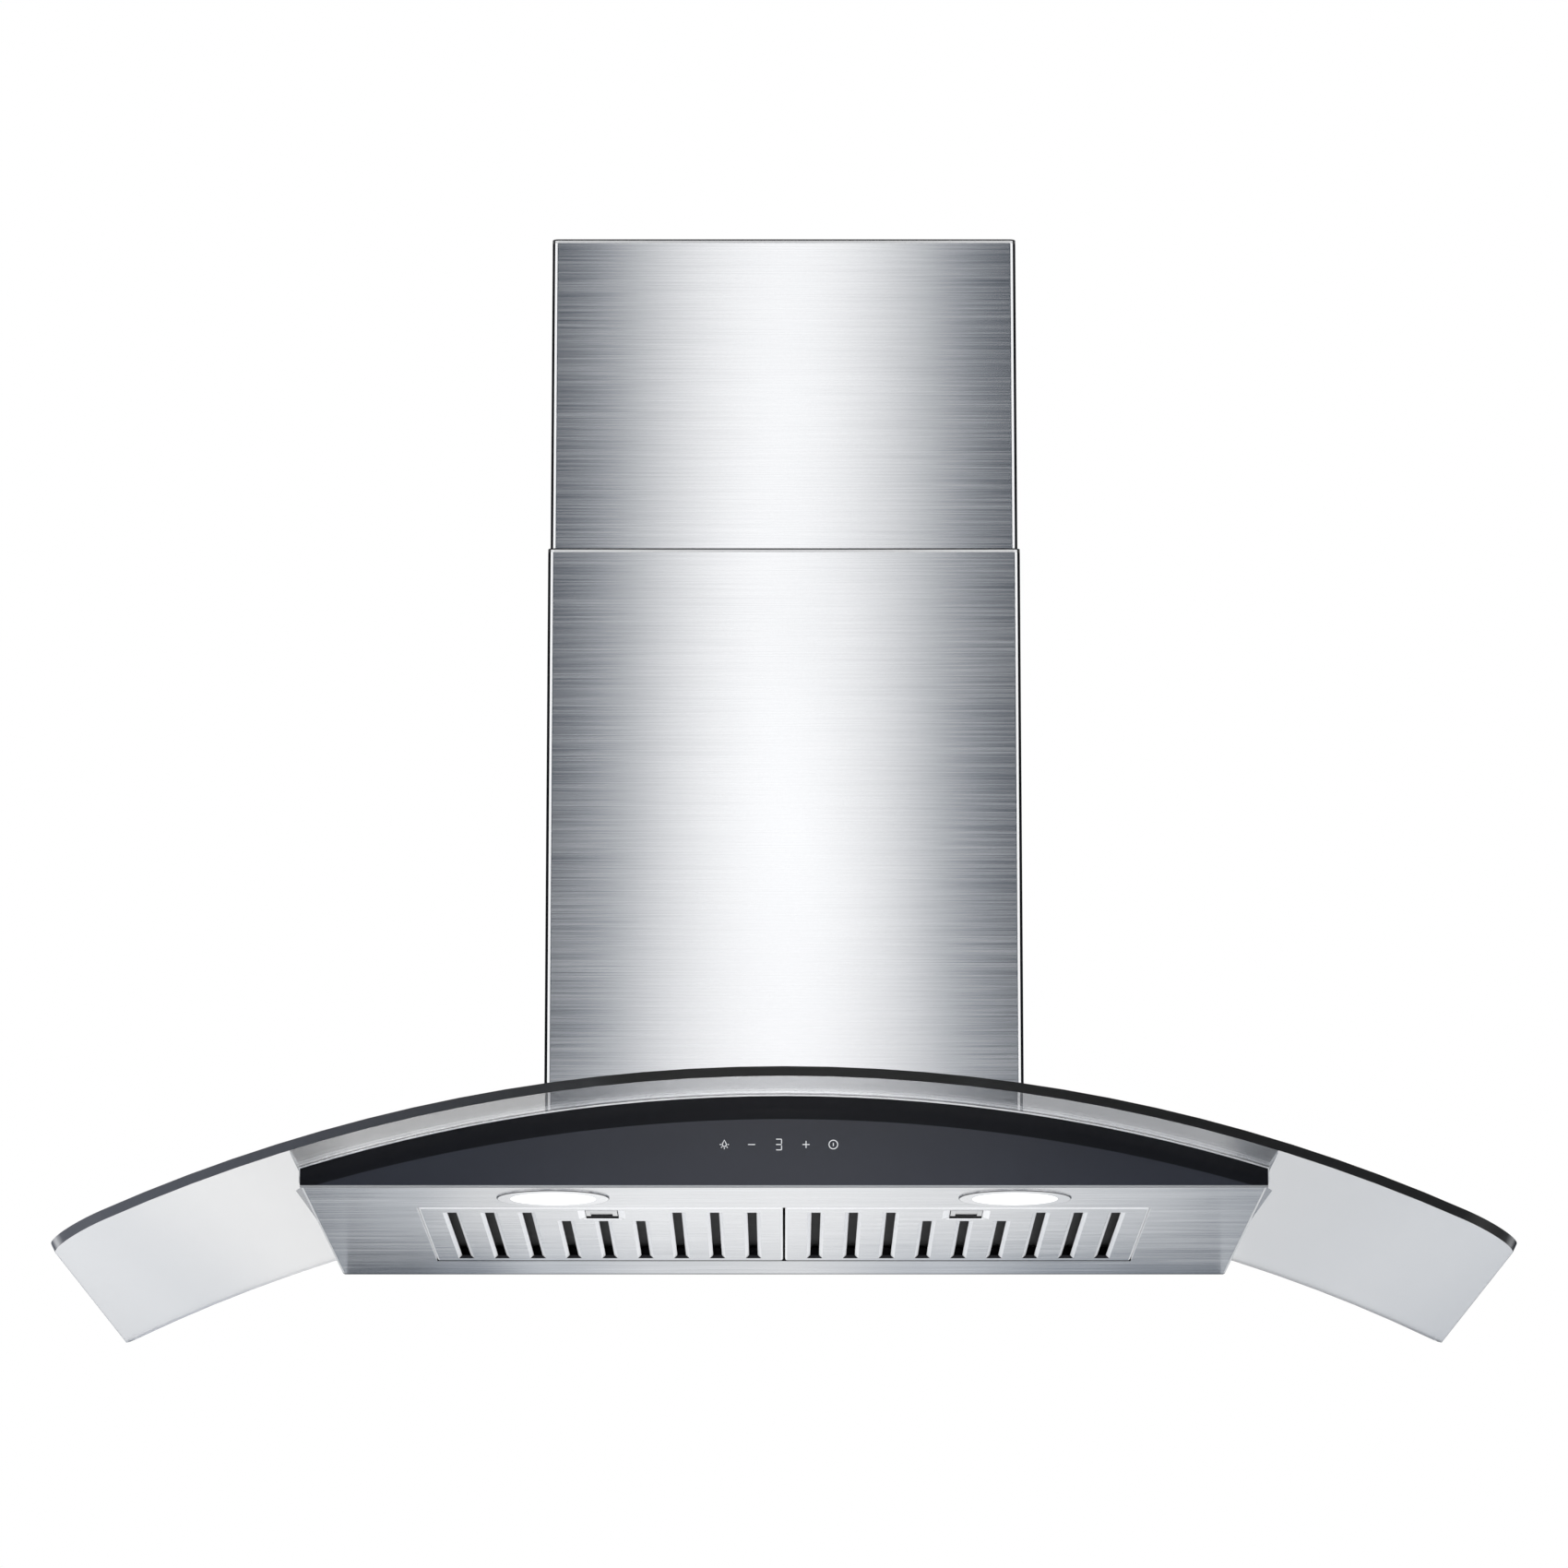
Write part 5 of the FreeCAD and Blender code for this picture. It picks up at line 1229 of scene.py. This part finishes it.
print("front cards:", front_card.name, low_card.name, base_card.name)

# %% [markdown]
# ## Cards behind, beside and for the glass
# The underside mirrors what is behind the hood: a wide card far back, and a narrow one at the wall.
# A card on each side gives the chimney's sides something to mirror.
# The last one is seen through the glass alone, and makes the right wing darker than the left one.

# %% Rear, side and glass cards
CARD_REAR_Y = 1.6
SHADE_HEIGHT = 0.05
SIDE_STOPS = ((-1.6, 0.03), (-1.36, 0.03), (-1.3, 0.35), (-1.05, 0.75), (-0.82, 0.4), (-0.74, 0.06),
              (1.6, 0.1))

rear_card = reflection_card(
    "rear_card", (0.0, CARD_REAR_Y, -0.35), 4.0, 1.5,
    ((-2.0, 0.3), (-0.6, 0.12), (-0.44, 0.21), (-0.35, 0.62), (-0.28, 1.0), (-0.12, 1.25), (0.03, 1.25),
     (0.2, 1.05), (0.32, 0.82), (0.44, 0.36), (0.6, 0.12), (2.0, 0.3)), SLATE)
wall_shade = reflection_card(
    "wall_shade", (0.0, 0.03, underside_z - SHADE_HEIGHT / 2), 0.6, SHADE_HEIGHT,
    ((-0.3, 0.14), (-0.26, 0.18), (-0.22, 0.32), (-0.16, 0.66), (-0.08, 0.84), (0.0, 0.9), (0.1, 0.66),
     (0.2, 0.39), (0.26, 0.28), (0.3, 0.24)), SLATE)
side_cards = [reflection_card(name, (x, 0.9, 0.5), 3.2, 2.2, SIDE_STOPS, side=True)
              for name, x in (("left_card", -1.5), ("right_card", 1.5))]
right_flag = reflection_card(
    "right_flag", (0.45, 2.0, 0.0), 0.86, 0.44,
    ((-0.43, 0.84), (-0.02, 0.82), (0.01, 0.58), (0.43, 0.55)), through_glass=True)
print("other cards:", rear_card.name, wall_shade.name, [c.name for c in side_cards], right_flag.name)

# %% [markdown]
# ## Soft lamps
# Two wide area lamps light what isn't metal: one high at the front left and a weaker one at the right.
# They are hidden from reflections, where their hard outlines would show on the steel.

# %% Area lamps
LAMP_SIZE = 2.5


def soft_lamp(name, place, aim, power):
    """Wide area lamp that shows in no reflection."""
    data = bpy.data.lights.new(name, "AREA")
    data.size = LAMP_SIZE
    data.energy = power
    lamp = add_object(name, data)
    lamp.location = place
    lamp.rotation_euler = (Vector(aim) - Vector(place)).to_track_quat("-Z", "Y").to_euler()
    lamp.visible_glossy = False
    return lamp


middle = (cad_low + cad_high) / 2
key = soft_lamp("key_lamp", (-2.2, -4.2, 2.4), middle, 95.0)
fill = soft_lamp("fill_lamp", (2.8, -3.4, 0.6), middle, 35.0)
print("lamps:", key.name, fill.name)

# %% [markdown]
# ## Camera
# The picture is taken from straight in front, from below the hood, with a long lens.
# The place and tilt were worked out from sizes on the hood and where they fall in the picture.

# %% Camera
CAMERA_DISTANCE = 4.5976
CAMERA_DROP = 0.60085
CAMERA_TILT = 11.594
CAMERA_LENS = 155.6
CAMERA_SENSOR = 36.0

camera_data = bpy.data.cameras.new("camera")
camera_data.lens = CAMERA_LENS
camera_data.sensor_width = CAMERA_SENSOR
camera = add_object("camera", camera_data)
camera.location = (0.0, -CAMERA_DISTANCE, underside_z - CAMERA_DROP)
camera.rotation_euler = (math.radians(90 + CAMERA_TILT), 0.0, 0.0)
scene.camera = camera
print("camera at", tuple(round(v, 3) for v in camera.location))
